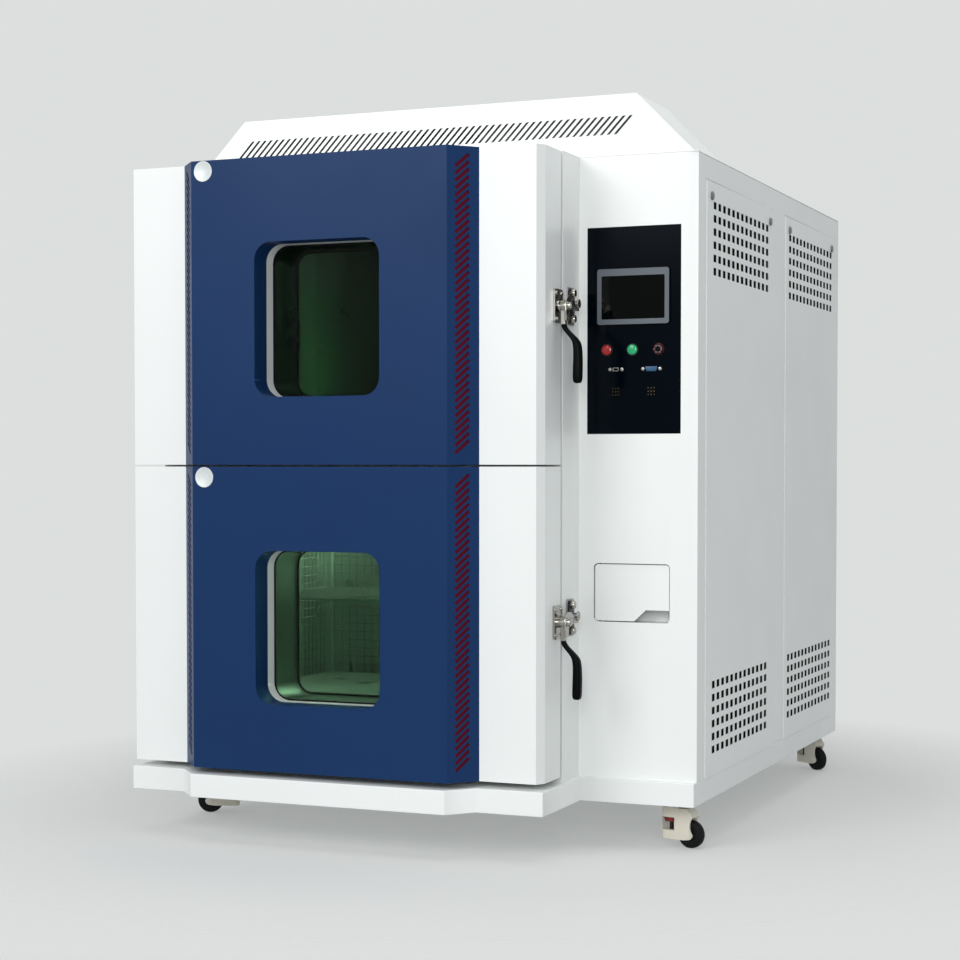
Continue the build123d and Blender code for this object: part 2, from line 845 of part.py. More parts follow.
# Lift-off side panels: shallow pans with a vent grid near the top and another near the foot
lock_z = z_panel_top - lock_drop
lock_places = {}
for name, (y, width) in zip(("right_front_panel", "right_rear_panel"), panel_spans):
    y0 = y + panel_reveal
    y1 = y + width - panel_reveal
    y_middle = (y0 + y1) / 2
    z1 = z_panel_top - panel_reveal
    z_middle = (z_body + z1) / 2
    lock_y = (y + lock_inset, y + width - lock_inset)
    lock_places[name] = lock_y
    with BuildPart() as side_panel:
        with BuildSketch(facing_right(x_right - panel_flange)):
            with Locations((y_middle, z_middle)):
                Rectangle(y1 - y0, z1 - z_body)
        extrude(amount=panel_flange + panel_proud)
        with BuildSketch(facing_right(x_right - panel_flange)):
            with Locations((y_middle, z_middle)):
                Rectangle(y1 - y0 - 2 * panel_sheet, z1 - z_body - 2 * panel_sheet)
        extrude(amount=panel_flange + panel_proud - panel_sheet, mode=Mode.SUBTRACT)
        grid_centres = (
            z_panel_top - vent_top_drop,
            z_body + vent_base_rise,
        )
        with BuildSketch(facing_right(x_right + panel_proud - panel_sheet)):
            for z in grid_centres:
                with Locations((y_middle, z)):
                    with GridLocations(vent_pitch_y, vent_pitch_z, vent_columns, vent_rows):
                        Rectangle(vent_hole_y, vent_hole_z)
            with Locations(*[(place, lock_z) for place in lock_y]):
                Circle(lock_shaft_radius + running_gap)
        extrude(amount=panel_sheet, mode=Mode.SUBTRACT)
    keep(side_panel, name)

# Quarter-turn locks: a round head, a shaft through the panel and a cam behind the frame's rail
x_lock_head = x_right + panel_proud
x_lock_cam = x_right - frame_return - seam
number = 0
for name, places in lock_places.items():
    for y in places:
        number += 1
        with BuildPart() as lock:
            with BuildSketch(facing_right(x_lock_head)):
                with Locations((y, lock_z)):
                    Circle(lock_head_radius)
            extrude(amount=lock_head_height)
            chamfer(lock.faces().sort_by(Axis.X)[-1].edges(), lock_edge)
            with BuildSketch(facing_right(x_lock_head + lock_head_height - lock_slot_depth)):
                with Locations((y, lock_z)):
                    Rectangle(lock_slot_width, lock_head_radius)
            extrude(amount=lock_slot_depth, mode=Mode.SUBTRACT)
            with BuildSketch(facing_right(x_lock_cam - lock_cam_thickness)):
                with Locations((y, lock_z)):
                    Circle(lock_shaft_radius)
            extrude(amount=x_lock_head - x_lock_cam + lock_cam_thickness)
            z_cam = lock_z + lock_cam_length / 2 - lock_cam_width / 2
            with BuildSketch(facing_right(x_lock_cam - lock_cam_thickness)):
                with Locations((y, z_cam)):
                    Rectangle(lock_cam_width, lock_cam_length)
            extrude(amount=lock_cam_thickness)
        keep(lock, f"panel_lock_{number}")

# Hinge and latch pieces shared by both doors
hinge_clear = hinge_knuckle_radius + curve_gap
knuckle_height = hinge_leaf_height / 3
y_latch_plate = y_door_back - latch_plate_margin - latch_plate_width / 2
y_pivot = y_door_back - latch_pivot_inset
y_roller = y_body + roller_setback
x_lever = x_step + latch_plate_thickness + latch_boss_height + lever_side_gap
x_latch_head = x_lever + lever_thickness + lever_side_gap


def hinge_levels(z_door):
    """Heights of a door's three hinges."""
    return (
        z_door + hinge_end_margin,
        z_door + door_height / 2,
        z_door + door_height - hinge_end_margin,
    )


def latch_level(z_door):
    """Height of a door's latch pivot."""
    return z_door + door_height / 2 + latch_rise


def hinge_leaf(y_far, z, knuckles):
    """One leaf: a plate on the side wall from y_far towards the pin, and a tongue to each knuckle."""
    towards_pin = 1 if y_far < y_hinge else -1
    y_near = y_hinge - towards_pin * hinge_clear
    x_outer = x_left - hinge_leaf_thickness
    half = hinge_leaf_height / 2
    block(x_outer, x_left, min(y_far, y_near), max(y_far, y_near), z - half, z + half)
    for i in knuckles:
        z_knuckle = z + i * knuckle_height
        reach = knuckle_height / 2 - hinge_knuckle_gap / 2
        block(
            x_outer,
            x_left,
            min(y_hinge, y_near),
            max(y_hinge, y_near),
            z_knuckle - reach,
            z_knuckle + reach,
        )
        with Locations((x_hinge, y_hinge, z_knuckle)):
            Cylinder(hinge_knuckle_radius, 2 * reach)


# Each door: fascia, white pan, insulation, stainless back with its plug, panes, gasket, hardware
doors = (
    ("upper", z_upper_door, z_hot_floor, z_hot_top),
    ("lower", z_lower_door, z_cold_floor, z_cold_top),
)
glass_width = window_width - 2 * window_ledge
glass_height = window_height - 2 * window_ledge
glass_radius = window_radius - window_ledge
bevel_length = (fascia_bevel**2 + fascia_depth**2) ** 0.5
slot_length = (slot_run**2 + slot_rise**2) ** 0.5
y_pan_back = y_door_back - liner_sheet
y_pane = y_slab + pane_recess
y_tunnel = y_pane + pane_thickness
y_plug = y_body + plug_depth
door_outline = (
    (x_left, y_slab),
    (x_step - door_chamfer_side, y_slab),
    (x_step, y_slab + door_chamfer_depth),
)
for side, z_door, z_low, z_high in doors:
    z_window = z_door + window_rise
    z_latch = latch_level(z_door)
    window_place = (fascia_centre, z_window)

    with BuildPart() as fascia:
        with BuildSketch(Plane.XY.offset(z_door)):
            with BuildLine():
                Polyline(
                    (x_fascia_left - fascia_bevel, y_slab),
                    (x_fascia_left, y_fascia),
                    (x_fascia_right, y_fascia),
                    (x_fascia_right + fascia_bevel, y_slab),
                    close=True,
                )
            make_face()
        extrude(amount=door_height)
        offset(amount=-fascia_sheet, openings=fascia.faces().sort_by(Axis.Y)[-1])
        with BuildSketch(facing_front(y_slab)):
            with Locations(window_place):
                RectangleRounded(
                    window_width + 2 * fascia_sheet,
                    window_height + 2 * fascia_sheet,
                    window_radius + fascia_sheet,
                )
        extrude(amount=fascia_depth)
        with BuildSketch(facing_front(y_slab)):
            with Locations(window_place):
                RectangleRounded(window_width, window_height, window_radius)
        extrude(amount=fascia_depth, mode=Mode.SUBTRACT)
        slot_middle = slot_edge + slot_run / 2
        z_slots = z_door + door_height / 2 + slot_shift
        right_bevel = Plane(
            origin=(x_fascia_right, y_fascia, z_slots),
            x_dir=(fascia_bevel, fascia_depth, 0),
            z_dir=(fascia_depth, -fascia_bevel, 0),
        )
        left_bevel = Plane(
            origin=(x_fascia_left - fascia_bevel, y_slab, z_slots),
            x_dir=(fascia_bevel, -fascia_depth, 0),
            z_dir=(-fascia_depth, -fascia_bevel, 0),
        )
        slant = Vector(slot_run, slot_rise).get_angle(Vector(1, 0))
        for bevel, along, turn in (
            (right_bevel, slot_middle, slant),
            (left_bevel, bevel_length - slot_middle, -slant),
        ):
            with BuildSketch(bevel):
                with Locations((along, 0)):
                    with GridLocations(1, slot_pitch, 1, slot_count):
                        Rectangle(slot_length, slot_width, rotation=turn)
            extrude(amount=-2 * fascia_sheet, mode=Mode.SUBTRACT)
    keep(fascia, f"{side}_door_fascia")

    with BuildPart() as door_pan:
        with BuildSketch(Plane.XY.offset(z_door)):
            with BuildLine():
                Polyline(*door_outline, (x_step, y_pan_back), (x_left, y_pan_back), close=True)
            make_face()
        extrude(amount=door_height)
        offset(amount=-door_sheet, openings=door_pan.faces().sort_by(Axis.Y)[-1])
        # The white return that lines the window's recess as far as the pane
        with BuildSketch(facing_front(y_pane)):
            with Locations(window_place):
                RectangleRounded(
                    window_width + 2 * door_sheet,
                    window_height + 2 * door_sheet,
                    window_radius + door_sheet,
                )
        extrude(amount=pane_recess)
        with BuildSketch(facing_front(y_pane)):
            with Locations(window_place):
                RectangleRounded(window_width, window_height, window_radius)
        extrude(amount=pane_recess, mode=Mode.SUBTRACT)
    keep(door_pan, f"{side}_door_pan")

    with BuildPart() as door_core:
        y_outline_back = y_pan_back + door_sheet
        with BuildSketch(Plane.XY.offset(z_door + door_sheet)):
            with BuildLine():
                Polyline(
                    *door_outline, (x_step, y_outline_back), (x_left, y_outline_back), close=True
                )
            make_face()
            offset(amount=-door_sheet, kind=Kind.INTERSECTION)
        extrude(amount=door_height - 2 * door_sheet)
        block(
            x_cell_left + plug_gap + liner_sheet,
            x_cell_right - plug_gap - liner_sheet,
            y_pan_back,
            y_plug - liner_sheet,
            z_low + plug_gap + liner_sheet,
            z_high - plug_gap - liner_sheet,
        )
        margin = liner_sheet + curve_gap
        with BuildSketch(facing_front(y_plug)):
            with Locations(window_place):
                RectangleRounded(
                    glass_width + 2 * margin, glass_height + 2 * margin, glass_radius + margin
                )
        extrude(amount=y_plug - y_tunnel, mode=Mode.SUBTRACT)
        margin = door_sheet + curve_gap
        with BuildSketch(facing_front(y_pane)):
            with Locations(window_place):
                RectangleRounded(
                    window_width + 2 * margin, window_height + 2 * margin, window_radius + margin
                )
        extrude(amount=pane_recess, mode=Mode.SUBTRACT)
        with BuildSketch(facing_front(y_tunnel)):
            with Locations(window_place):
                Rectangle(glass_width + 2 * pane_margin, glass_height + 2 * pane_margin)
        extrude(amount=pane_thickness, mode=Mode.SUBTRACT)
    keep(door_core, f"{side}_door_insulation")

    with BuildPart() as door_liner:
        block(x_left, x_step, y_pan_back, y_door_back, z_door, z_door + door_height)
        for inset, y_end, mode in (
            (plug_gap, y_plug, Mode.ADD),
            (plug_gap + liner_sheet, y_plug - liner_sheet, Mode.SUBTRACT),
        ):
            block(
                x_cell_left + inset,
                x_cell_right - inset,
                y_pan_back,
                y_end,
                z_low + inset,
                z_high - inset,
                mode=mode,
            )
        with BuildSketch(facing_front(y_plug)):
            with Locations(window_place):
                RectangleRounded(
                    glass_width + 2 * liner_sheet,
                    glass_height + 2 * liner_sheet,
                    glass_radius + liner_sheet,
                )
        extrude(amount=y_plug - y_tunnel)
        with BuildSketch(facing_front(y_plug)):
            with Locations(window_place):
                RectangleRounded(glass_width, glass_height, glass_radius)
        extrude(amount=y_plug - y_tunnel, mode=Mode.SUBTRACT)
    keep(door_liner, f"{side}_door_liner")

    with BuildPart() as window_panes:
        with BuildSketch(facing_front(y_tunnel)):
            with Locations(window_place):
                Rectangle(glass_width + 2 * pane_margin, glass_height + 2 * pane_margin)
        extrude(amount=pane_thickness)
        with BuildSketch(facing_front(y_plug - liner_sheet)):
            with Locations(window_place):
                RectangleRounded(
                    glass_width - 2 * curve_gap,
                    glass_height - 2 * curve_gap,
                    glass_radius - curve_gap,
                )
        extrude(amount=pane_thickness)
    keep(window_panes, f"{side}_window_panes")

    with BuildPart() as gasket:
        with BuildSketch(facing_front(y_body)):
            inner = (
                x_cell_right - x_cell_left + 2 * gasket_margin,
                z_high - z_low + 2 * gasket_margin,
            )
            with Locations((x_cell, (z_low + z_high) / 2)):
                Rectangle(inner[0] + 2 * gasket_width, inner[1] + 2 * gasket_width)
                Rectangle(*inner, mode=Mode.SUBTRACT)
        extrude(amount=gasket_thickness)
    keep(gasket, f"{side}_door_gasket")

    with BuildPart() as door_hardware:
        for z in hinge_levels(z_door):
            hinge_leaf(y_door_back - hinge_leaf_width, z, (0,))
            with Locations((x_hinge, y_hinge, z)):
                Cylinder(hinge_pin_radius + running_gap, hinge_leaf_height, mode=Mode.SUBTRACT)
        with BuildSketch(facing_right(x_step)):
            with Locations((y_latch_plate, z_latch)):
                RectangleRounded(latch_plate_width, latch_plate_height, latch_plate_thickness)
        extrude(amount=latch_plate_thickness)
        for radius, height in (
            (latch_boss_radius, x_lever - lever_side_gap - x_step),
            (latch_pivot_radius, x_latch_head + latch_head_height - x_step),
        ):
            with BuildSketch(facing_right(x_step)):
                with Locations((y_pivot, z_latch)):
                    Circle(radius)
            extrude(amount=height)
        with BuildSketch(facing_right(x_latch_head)):
            with Locations((y_pivot, z_latch)):
                Circle(latch_head_radius)
        extrude(amount=latch_head_height)
    keep(door_hardware, f"{side}_door_hardware")

    with BuildPart() as lever:
        y_arm_end = y_roller + lever_arm_past
        z_arm_top = z_latch + roller_rise - roller_radius - roller_gap
        with BuildSketch(facing_right(x_lever)):
            with Locations((y_pivot, z_latch)):
                Circle(lever_hub_radius)
            with Locations(((y_pivot + y_arm_end) / 2, z_arm_top - lever_arm_height / 2)):
                Rectangle(y_arm_end - y_pivot, lever_arm_height)
            with Locations((y_pivot, z_latch - grip_drop / 2)):
                Rectangle(lever_neck_width, grip_drop)
            with Locations((y_pivot, z_latch)):
                Circle(latch_pivot_radius + running_gap, mode=Mode.SUBTRACT)
        extrude(amount=lever_thickness)
    keep(lever, f"{side}_latch_lever")

    with BuildPart() as grip:
        z_grip = z_latch - grip_drop
        z_bend = z_grip - grip_bend
        z_tip = z_grip - grip_length
        x_grip = x_lever + lever_thickness
        x_far = x_grip + grip_offset
        down = (0, -1)
        with BuildSketch(facing_front(y_pivot + grip_width / 2)):
            with BuildLine():
                Spline((x_grip, z_grip), (x_far, z_bend), tangents=(down, down))
                Polyline(
                    (x_far, z_bend),
                    (x_far, z_tip),
                    (x_far - grip_thickness, z_tip),
                    (x_far - grip_thickness, z_bend),
                )
                Spline((x_far - grip_thickness, z_bend), (x_lever, z_grip), tangents=((0, 1), (0, 1)))
                Line((x_lever, z_grip), (x_grip, z_grip))
            make_face()
        extrude(amount=grip_width)
        with BuildSketch(facing_right(x_lever)):
            with BuildLine():
                Polyline(
                    (y_pivot - grip_neck / 2, z_grip),
                    (y_pivot + grip_neck / 2, z_grip),
                    (y_pivot + grip_width / 2, z_bend),
                    (y_pivot + grip_width / 2, z_tip + grip_width / 2),
                )
                ThreePointArc(
                    (y_pivot + grip_width / 2, z_tip + grip_width / 2),
                    (y_pivot, z_tip),
                    (y_pivot - grip_width / 2, z_tip + grip_width / 2),
                )
                Polyline(
                    (y_pivot - grip_width / 2, z_tip + grip_width / 2),
                    (y_pivot - grip_width / 2, z_bend),
                    (y_pivot - grip_neck / 2, z_grip),
                )
            make_face()
        extrude(amount=grip_offset + lever_thickness, mode=Mode.INTERSECT)
    keep(grip, f"{side}_latch_grip")

# Cabinet hardware: fixed hinge leaves with their pins, latch keepers and the caster top plates
z_caster_plate = z_plinth - caster_plate_thickness
x_casters = (x_left + caster_side_inset, x_right - caster_side_inset)
y_casters = (y_column + caster_front_inset, y_rear - caster_rear_inset)
caster_places = {
    "front_left": (x_casters[0], y_casters[0]),
    "front_right": (x_casters[1], y_casters[0]),
    "rear_left": (x_casters[0], y_casters[1]),
    "rear_right": (x_casters[1], y_casters[1]),
}
with BuildPart() as cabinet_hardware:
    for side, z_door, z_low, z_high in doors:
        z_latch = latch_level(z_door)
        for z in hinge_levels(z_door):
            hinge_leaf(y_body + hinge_leaf_width, z, (-1, 1))
            with Locations((x_hinge, y_hinge, z)):
                Cylinder(hinge_pin_radius, hinge_leaf_height)
        with BuildSketch(facing_right(x_step)):
            with Locations((y_body + keeper_inset + keeper_width / 2, z_latch + keeper_rise)):
                RectangleRounded(keeper_width, keeper_height, keeper_thickness)
            with Locations((y_roller, z_latch + roller_rise)):
                Circle(roller_radius + running_gap, mode=Mode.SUBTRACT)
        extrude(amount=keeper_thickness)
        with BuildSketch(facing_right(x_step)):
            with Locations((y_roller, z_latch + roller_rise)):
                Circle(roller_radius)
        extrude(amount=x_latch_head + latch_head_height - x_step)
    for place in caster_places.values():
        with BuildSketch(Plane.XY.offset(z_caster_plate)):
            with Locations(place):
                Rectangle(caster_plate_size, caster_plate_size)
                Circle(kingpin_radius + running_gap, mode=Mode.SUBTRACT)
        extrude(amount=caster_plate_thickness)
keep(cabinet_hardware, "cabinet_hardware")

# Lift guides: two upright rods from the cold zone's floor to the hot zone's ceiling
x_rods = (x_cell - basket_width / 2 + rod_inset, x_cell + basket_width / 2 - rod_inset)
rod_places = [(x, y_basket) for x in x_rods]
with BuildPart() as lift_guides:
    with BuildSketch(Plane.XY.offset(z_cold_floor)):
        with Locations(*rod_places):
            Circle(rod_radius)
    extrude(amount=z_hot_top - z_cold_floor)
    # A collar at the foot of each rod, which the lowered basket stands on
    with BuildSketch(Plane.XY.offset(z_cold_floor)):
        with Locations(*rod_places):
            Circle(rod_boss_radius)
    extrude(amount=basket_stop)
keep(lift_guides, "lift_guides")

# Basket: two hollow plates that close the passage in turn, four posts and a barred shelf
z_basket_top = z_basket + basket_height
x_basket_left = x_cell - basket_width / 2
x_basket_right = x_cell + basket_width / 2
y_basket_back = y_basket_front + basket_depth
z_shelf = z_basket + basket_plate + shelf_rise
with BuildPart() as basket:
    for z in (z_basket, z_basket_top - basket_plate):
        block(x_basket_left, x_basket_right, y_basket_front, y_basket_back, z, z + basket_plate)
        block(
            x_basket_left + basket_sheet,
            x_basket_right - basket_sheet,
            y_basket_front + basket_sheet,
            y_basket_back - basket_sheet,
            z + basket_sheet,
            z + basket_plate - basket_sheet,
            mode=Mode.SUBTRACT,
        )
        with Locations(*[(x, y, z + basket_plate / 2) for x, y in rod_places]):
            Cylinder(rod_boss_radius, basket_plate)
            Cylinder(rod_radius + running_gap, basket_plate, mode=Mode.SUBTRACT)
    for x in (x_basket_left, x_basket_right - basket_post):
        for y in (y_basket_front, y_basket_back - basket_post):
            z0 = z_basket + basket_plate
            block(x, x + basket_post, y, y + basket_post, z0, z0 + basket_room)
    for x in (x_basket_left, x_basket_right - shelf_rail):
        block(
            x, x + shelf_rail, y_basket_front, y_basket_back, z_shelf - shelf_rail, z_shelf
        )
    with Locations((x_cell, y_basket, z_shelf - shelf_bar / 2)):
        with GridLocations(1, shelf_bar_pitch, 1, shelf_bars):
            Box(basket_width - shelf_rail, shelf_bar, shelf_bar)
    with Locations((x_cell, y_basket, z_basket_top + rope_lug_height / 2)):
        Cylinder(rope_lug_radius, rope_lug_height)
keep(basket, "basket")

# Lift drum on its shaft under the hood, and the rope that drops from it to the basket
y_drum = y_basket - drum_radius - rope_radius - curve_gap
z_drum = z_roof + drum_rise
drum_flange_thickness = 5
x_bearing = drum_width / 2 + bearing_gap + bearing_thickness / 2
x_lift_motor = x_cell + x_bearing + bearing_thickness / 2 + bearing_gap
x_drum_shaft = x_cell - x_bearing - bearing_thickness / 2
with BuildPart() as lift_drum:
    for radius, x0, length in (
        (drum_radius, x_cell - drum_width / 2, drum_width),
        (drum_flange_radius, x_cell - drum_width / 2, drum_flange_thickness),
        (
            drum_flange_radius,
            x_cell + drum_width / 2 - drum_flange_thickness,
            drum_flange_thickness,
        ),
        (drum_shaft_radius, x_drum_shaft, x_lift_motor + lift_seat_depth - seam - x_drum_shaft),
    ):
        with BuildSketch(facing_right(x0)):
            with Locations((y_drum, z_drum)):
                Circle(radius)
        extrude(amount=length)
keep(lift_drum, "lift_drum")

with BuildPart() as lift_rope:
    with BuildSketch(Plane.XY.offset(z_basket_top + rope_lug_height)):
        with Locations((x_cell, y_basket)):
            Circle(rope_radius)
    extrude(amount=z_drum - z_basket_top - rope_lug_height)
keep(lift_rope, "lift_rope")

# Drive motors: one behind each zone for its fan, and the geared lift motor with its two bearings
y_fan = y_baffle + liner_sheet + fan_baffle_gap
with BuildPart() as drive_motors:
    for level in fan_levels:
        for size, radius, length in (
            (motor_flange, 0, motor_flange_thickness),
            (0, fan_motor_radius, fan_motor_length),
        ):
            with BuildSketch(facing_front(y_cell_end)):
                with Locations((x_cell, level)):
                    if size:
                        Rectangle(size, size)
                    else:
                        Circle(radius)
            extrude(amount=-length)
        block(
            x_cell - terminal_box / 2,
            x_cell + terminal_box / 2,
            y_cell_end + fan_seat_depth,
            y_cell_end + fan_seat_depth + terminal_box,
            level,
            level + fan_motor_radius + terminal_box / 2,
        )
        with BuildSketch(facing_front(y_cell_end)):
            with Locations((x_cell, level)):
                Circle(fan_shaft_radius + running_gap)
        extrude(amount=-fan_seat_depth, mode=Mode.SUBTRACT)
    for x in (x_cell - x_bearing, x_cell + x_bearing):
        with Locations((x, y_drum, (z_roof + z_drum + bearing_width / 2) / 2)):
            Box(bearing_thickness, bearing_width, drum_rise + bearing_width / 2)
    with Locations((x_lift_motor + lift_motor_length / 2, y_drum, z_roof)):
        Box(
            lift_motor_length,
            lift_motor_size,
            drum_rise + lift_motor_size / 2,
            align=(Align.CENTER, Align.CENTER, Align.MIN),
        )
    with BuildSketch(facing_right(x_drum_shaft)):
        with Locations((y_drum, z_drum)):
            Circle(drum_shaft_radius + running_gap)
    extrude(amount=x_lift_motor + lift_seat_depth - x_drum_shaft, mode=Mode.SUBTRACT)
keep(drive_motors, "drive_motors")


def fan(place, shaft_length):
    """Hub, blades and shaft on a plane at the hub's free face; the shaft runs along the plane's z."""
    for radius, length in ((fan_hub_radius, fan_depth), (fan_shaft_radius, shaft_length)):
        with BuildSketch(place) as disc:
            Circle(radius)
        extrude(disc.sketch, amount=length)
    for i in range(fan_blades):
        turn = Location((0, 0, fan_depth / 2), (0, 0, i * 360 / fan_blades))
        with Locations(place.location * turn):
            Box(
                fan_radius,
                fan_blade_thickness,
                fan_depth,
                rotation=(fan_blade_tilt, 0, 0),
                align=(Align.MIN, Align.CENTER, Align.CENTER),
            )


# Circulation fans, one in the duct behind each baffle
fan_shaft_length = y_cell_end + fan_seat_depth - seam - y_fan
for name, level in (("cold_fan", fan_levels[0]), ("hot_fan", fan_levels[1])):
    with BuildPart() as zone_fan:
        fan(Plane(origin=(x_cell, y_fan, level), x_dir=(1, 0, 0), z_dir=(0, 1, 0)), fan_shaft_length)
    keep(zone_fan, name)

# Refrigeration unit on the plinth: two compressors, the receiver, and the condenser with its stand
x_condenser = x_right - condenser_inset - condenser_size[0]
y_condenser = y_panel_two + panel_two_width / 2
z_condenser = z_body + condenser_frame + condenser_size[2] / 2
x_condenser_fan = x_condenser - condenser_fan_gap
x_condenser_motor = x_condenser_fan - fan_depth - condenser_fan_gap
with BuildPart() as refrigeration_unit:
    for x in compressor_x:
        with BuildSketch(Plane.XY.offset(z_body)):
            with Locations((x, compressor_y)):
                Circle(compressor_radius)
        extrude(amount=compressor_height)
        chamfer(refrigeration_unit.faces().sort_by(Axis.Z)[-1].edges(), compressor_shoulder)
    with BuildSketch(Plane.XY.offset(z_body)):
        with Locations((receiver_x, compressor_y)):
            Circle(receiver_radius)
    extrude(amount=receiver_height)
    with Locations((x_condenser + condenser_size[0] / 2, y_condenser, z_condenser)):
        Box(condenser_size[0], condenser_size[1], condenser_size[2])
    for y in (y_condenser - condenser_size[1] / 2, y_condenser + condenser_size[1] / 2):
        edge = condenser_frame if y > y_condenser else 0
        block(
            x_condenser,
            x_condenser + condenser_size[0],
            y - edge,
            y - edge + condenser_frame,
            z_body,
            z_body + condenser_frame,
        )
    with BuildSketch(facing_right(x_condenser_motor - condenser_motor_length)):
        with Locations((y_condenser, z_condenser)):
            Circle(condenser_motor_radius)
    extrude(amount=condenser_motor_length)
    block(
        x_condenser_motor - condenser_motor_length,
        x_condenser_motor,
        y_condenser - condenser_foot / 2,
        y_condenser + condenser_foot / 2,
        z_body,
        z_condenser,
    )
    with BuildSketch(facing_right(x_condenser_motor - condenser_seat_depth)):
        with Locations((y_condenser, z_condenser)):
            Circle(fan_shaft_radius + running_gap)
    extrude(amount=condenser_seat_depth, mode=Mode.SUBTRACT)
keep(refrigeration_unit, "refrigeration_unit")

with BuildPart() as condenser_fan:
    fan(
        Plane(
            origin=(x_condenser_fan, y_condenser, z_condenser),
            x_dir=(0, 1, 0),
            z_dir=(-1, 0, 0),
        ),
        x_condenser_fan - x_condenser_motor + condenser_seat_depth - seam,
    )
keep(condenser_fan, "condenser_fan")

# Electrical box on the chamber's right-hand sheet, reached through the front side panel
with BuildPart() as electrical_box:
    y_box = y_column + box_setback
    z_box = z_body + box_base
    block(x_step, x_step + box_width, y_box, y_box + box_depth, z_box, z_box + box_height)
    block(
        x_step + sheet,
        x_step + box_width - sheet,
        y_box + sheet,
        y_box + box_depth - sheet,
        z_box + sheet,
        z_box + box_height - sheet,
        mode=Mode.SUBTRACT,
    )
keep(electrical_box, "electrical_box")

# Levelling casters: a swivelling yoke with its wheel behind and a screw-down foot in front
wheel_room = wheel_width / 2 + wheel_side_gap
yoke_half = wheel_room + yoke_arm
z_yoke = z_caster_plate - caster_neck_height
for corner, (x, y) in caster_places.items():
    turn = radians(caster_angles[corner])
    along = (cos(turn), sin(turn))
    foot_place = (x - foot_inset * along[0], y - foot_inset * along[1])
    # In this plane local x runs back along the trail and local y is the height above the floor
    side_on = Plane(
        origin=(x, y, 0),
        x_dir=(along[0], along[1], 0),
        z_dir=(along[1], -along[0], 0),
    )
    with BuildPart() as yoke:
        with BuildSketch(side_on):
            with BuildLine():
                Polyline(
                    (wheel_trail, wheel_radius - yoke_lug),
                    (wheel_trail - yoke_lug, yoke_base),
                    (-yoke_front, yoke_base),
                    (-yoke_front, z_yoke),
                    (yoke_shoulder, z_yoke),
                    (yoke_fender_back, yoke_fender_base),
                )
                ThreePointArc(
                    (yoke_fender_back, yoke_fender_base),
                    (yoke_waist, (yoke_fender_base + wheel_radius) / 2),
                    (wheel_trail + yoke_lug, wheel_radius),
                )
                RadiusArc(
                    (wheel_trail + yoke_lug, wheel_radius),
                    (wheel_trail, wheel_radius - yoke_lug),
                    yoke_lug,
                )
            make_face()
        extrude(amount=yoke_half, both=True)
        fillet(yoke.edges().filter_by(Axis.Z), yoke_round)
        with BuildSketch(side_on):
            with Locations((yoke_slot_front, 0)):
                Rectangle(
                    wheel_trail + wheel_radius, yoke_slot_top, align=(Align.MIN, Align.MIN)
                )
        extrude(amount=wheel_room, both=True, mode=Mode.SUBTRACT)
        with BuildSketch(side_on):
            with Locations((yoke_window_back, yoke_window_base)):
                Rectangle(
                    yoke_window_back + yoke_window_front,
                    yoke_window_top - yoke_window_base,
                    align=(Align.MAX, Align.MIN),
                )
        extrude(amount=yoke_half, both=True, mode=Mode.SUBTRACT)
        with BuildSketch(side_on):
            with Locations((wheel_trail, wheel_radius)):
                Circle(wheel_axle_radius)
        extrude(amount=yoke_half, both=True)
        for face, outward in ((yoke_half, 1), (-yoke_half, -1)):
            with BuildSketch(side_on.offset(face)):
                with Locations((wheel_trail, wheel_radius)):
                    Circle(axle_head_radius)
            extrude(amount=outward * axle_head_height)
        with Locations((x, y, z_caster_plate - caster_neck_height / 2)):
            Cylinder(caster_neck_radius, caster_neck_height)
        with Locations((x, y, z_caster_plate)):
            Cylinder(
                kingpin_radius,
                caster_plate_thickness - kingpin_gap,
                align=(Align.CENTER, Align.CENTER, Align.MIN),
            )
        with Locations((*foot_place, 0)):
            Cylinder(
                foot_stem_radius + running_gap,
                foot_stem_top + kingpin_gap,
                align=(Align.CENTER, Align.CENTER, Align.MIN),
                mode=Mode.SUBTRACT,
            )
            Cylinder(
                foot_pad_radius + foot_recess_gap,
                foot_clearance + foot_pad_height + foot_recess_gap,
                align=(Align.CENTER, Align.CENTER, Align.MIN),
                mode=Mode.SUBTRACT,
            )
    keep(yoke, f"caster_yoke_{corner}")

    with BuildPart() as wheel:
        with BuildSketch(side_on):
            with Locations((wheel_trail, wheel_radius)):
                Circle(wheel_radius)
        extrude(amount=wheel_width / 2, both=True)
        chamfer(wheel.edges().filter_by(GeomType.CIRCLE), wheel_chamfer)
        with BuildSketch(side_on):
            with Locations((wheel_trail, wheel_radius)):
                Circle(wheel_axle_radius + running_gap)
        extrude(amount=wheel_width / 2, both=True, mode=Mode.SUBTRACT)
    keep(wheel, f"caster_wheel_{corner}")

    with BuildPart() as foot:
        for radius, z0, z1 in (
            (foot_pad_radius, foot_clearance, foot_clearance + foot_pad_height),
            (foot_stem_radius, foot_clearance, foot_stem_top),
            (thumbwheel_radius, thumbwheel_top - thumbwheel_height, thumbwheel_top),
        ):
            with BuildSketch(Plane.XY.offset(z0)):
                with Locations(foot_place):
                    Circle(radius)
            extrude(amount=z1 - z0)
    keep(foot, f"caster_foot_{corner}")
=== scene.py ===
"""Looks of the two-zone thermal shock test chamber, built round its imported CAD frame.

The scene is in metres and in the CAD's own frame. Lengths given in mm are multiplied by MM.
"""

import json
from math import cos, pi, radians, sin

import bmesh
import bpy
from mathutils import Matrix, Vector


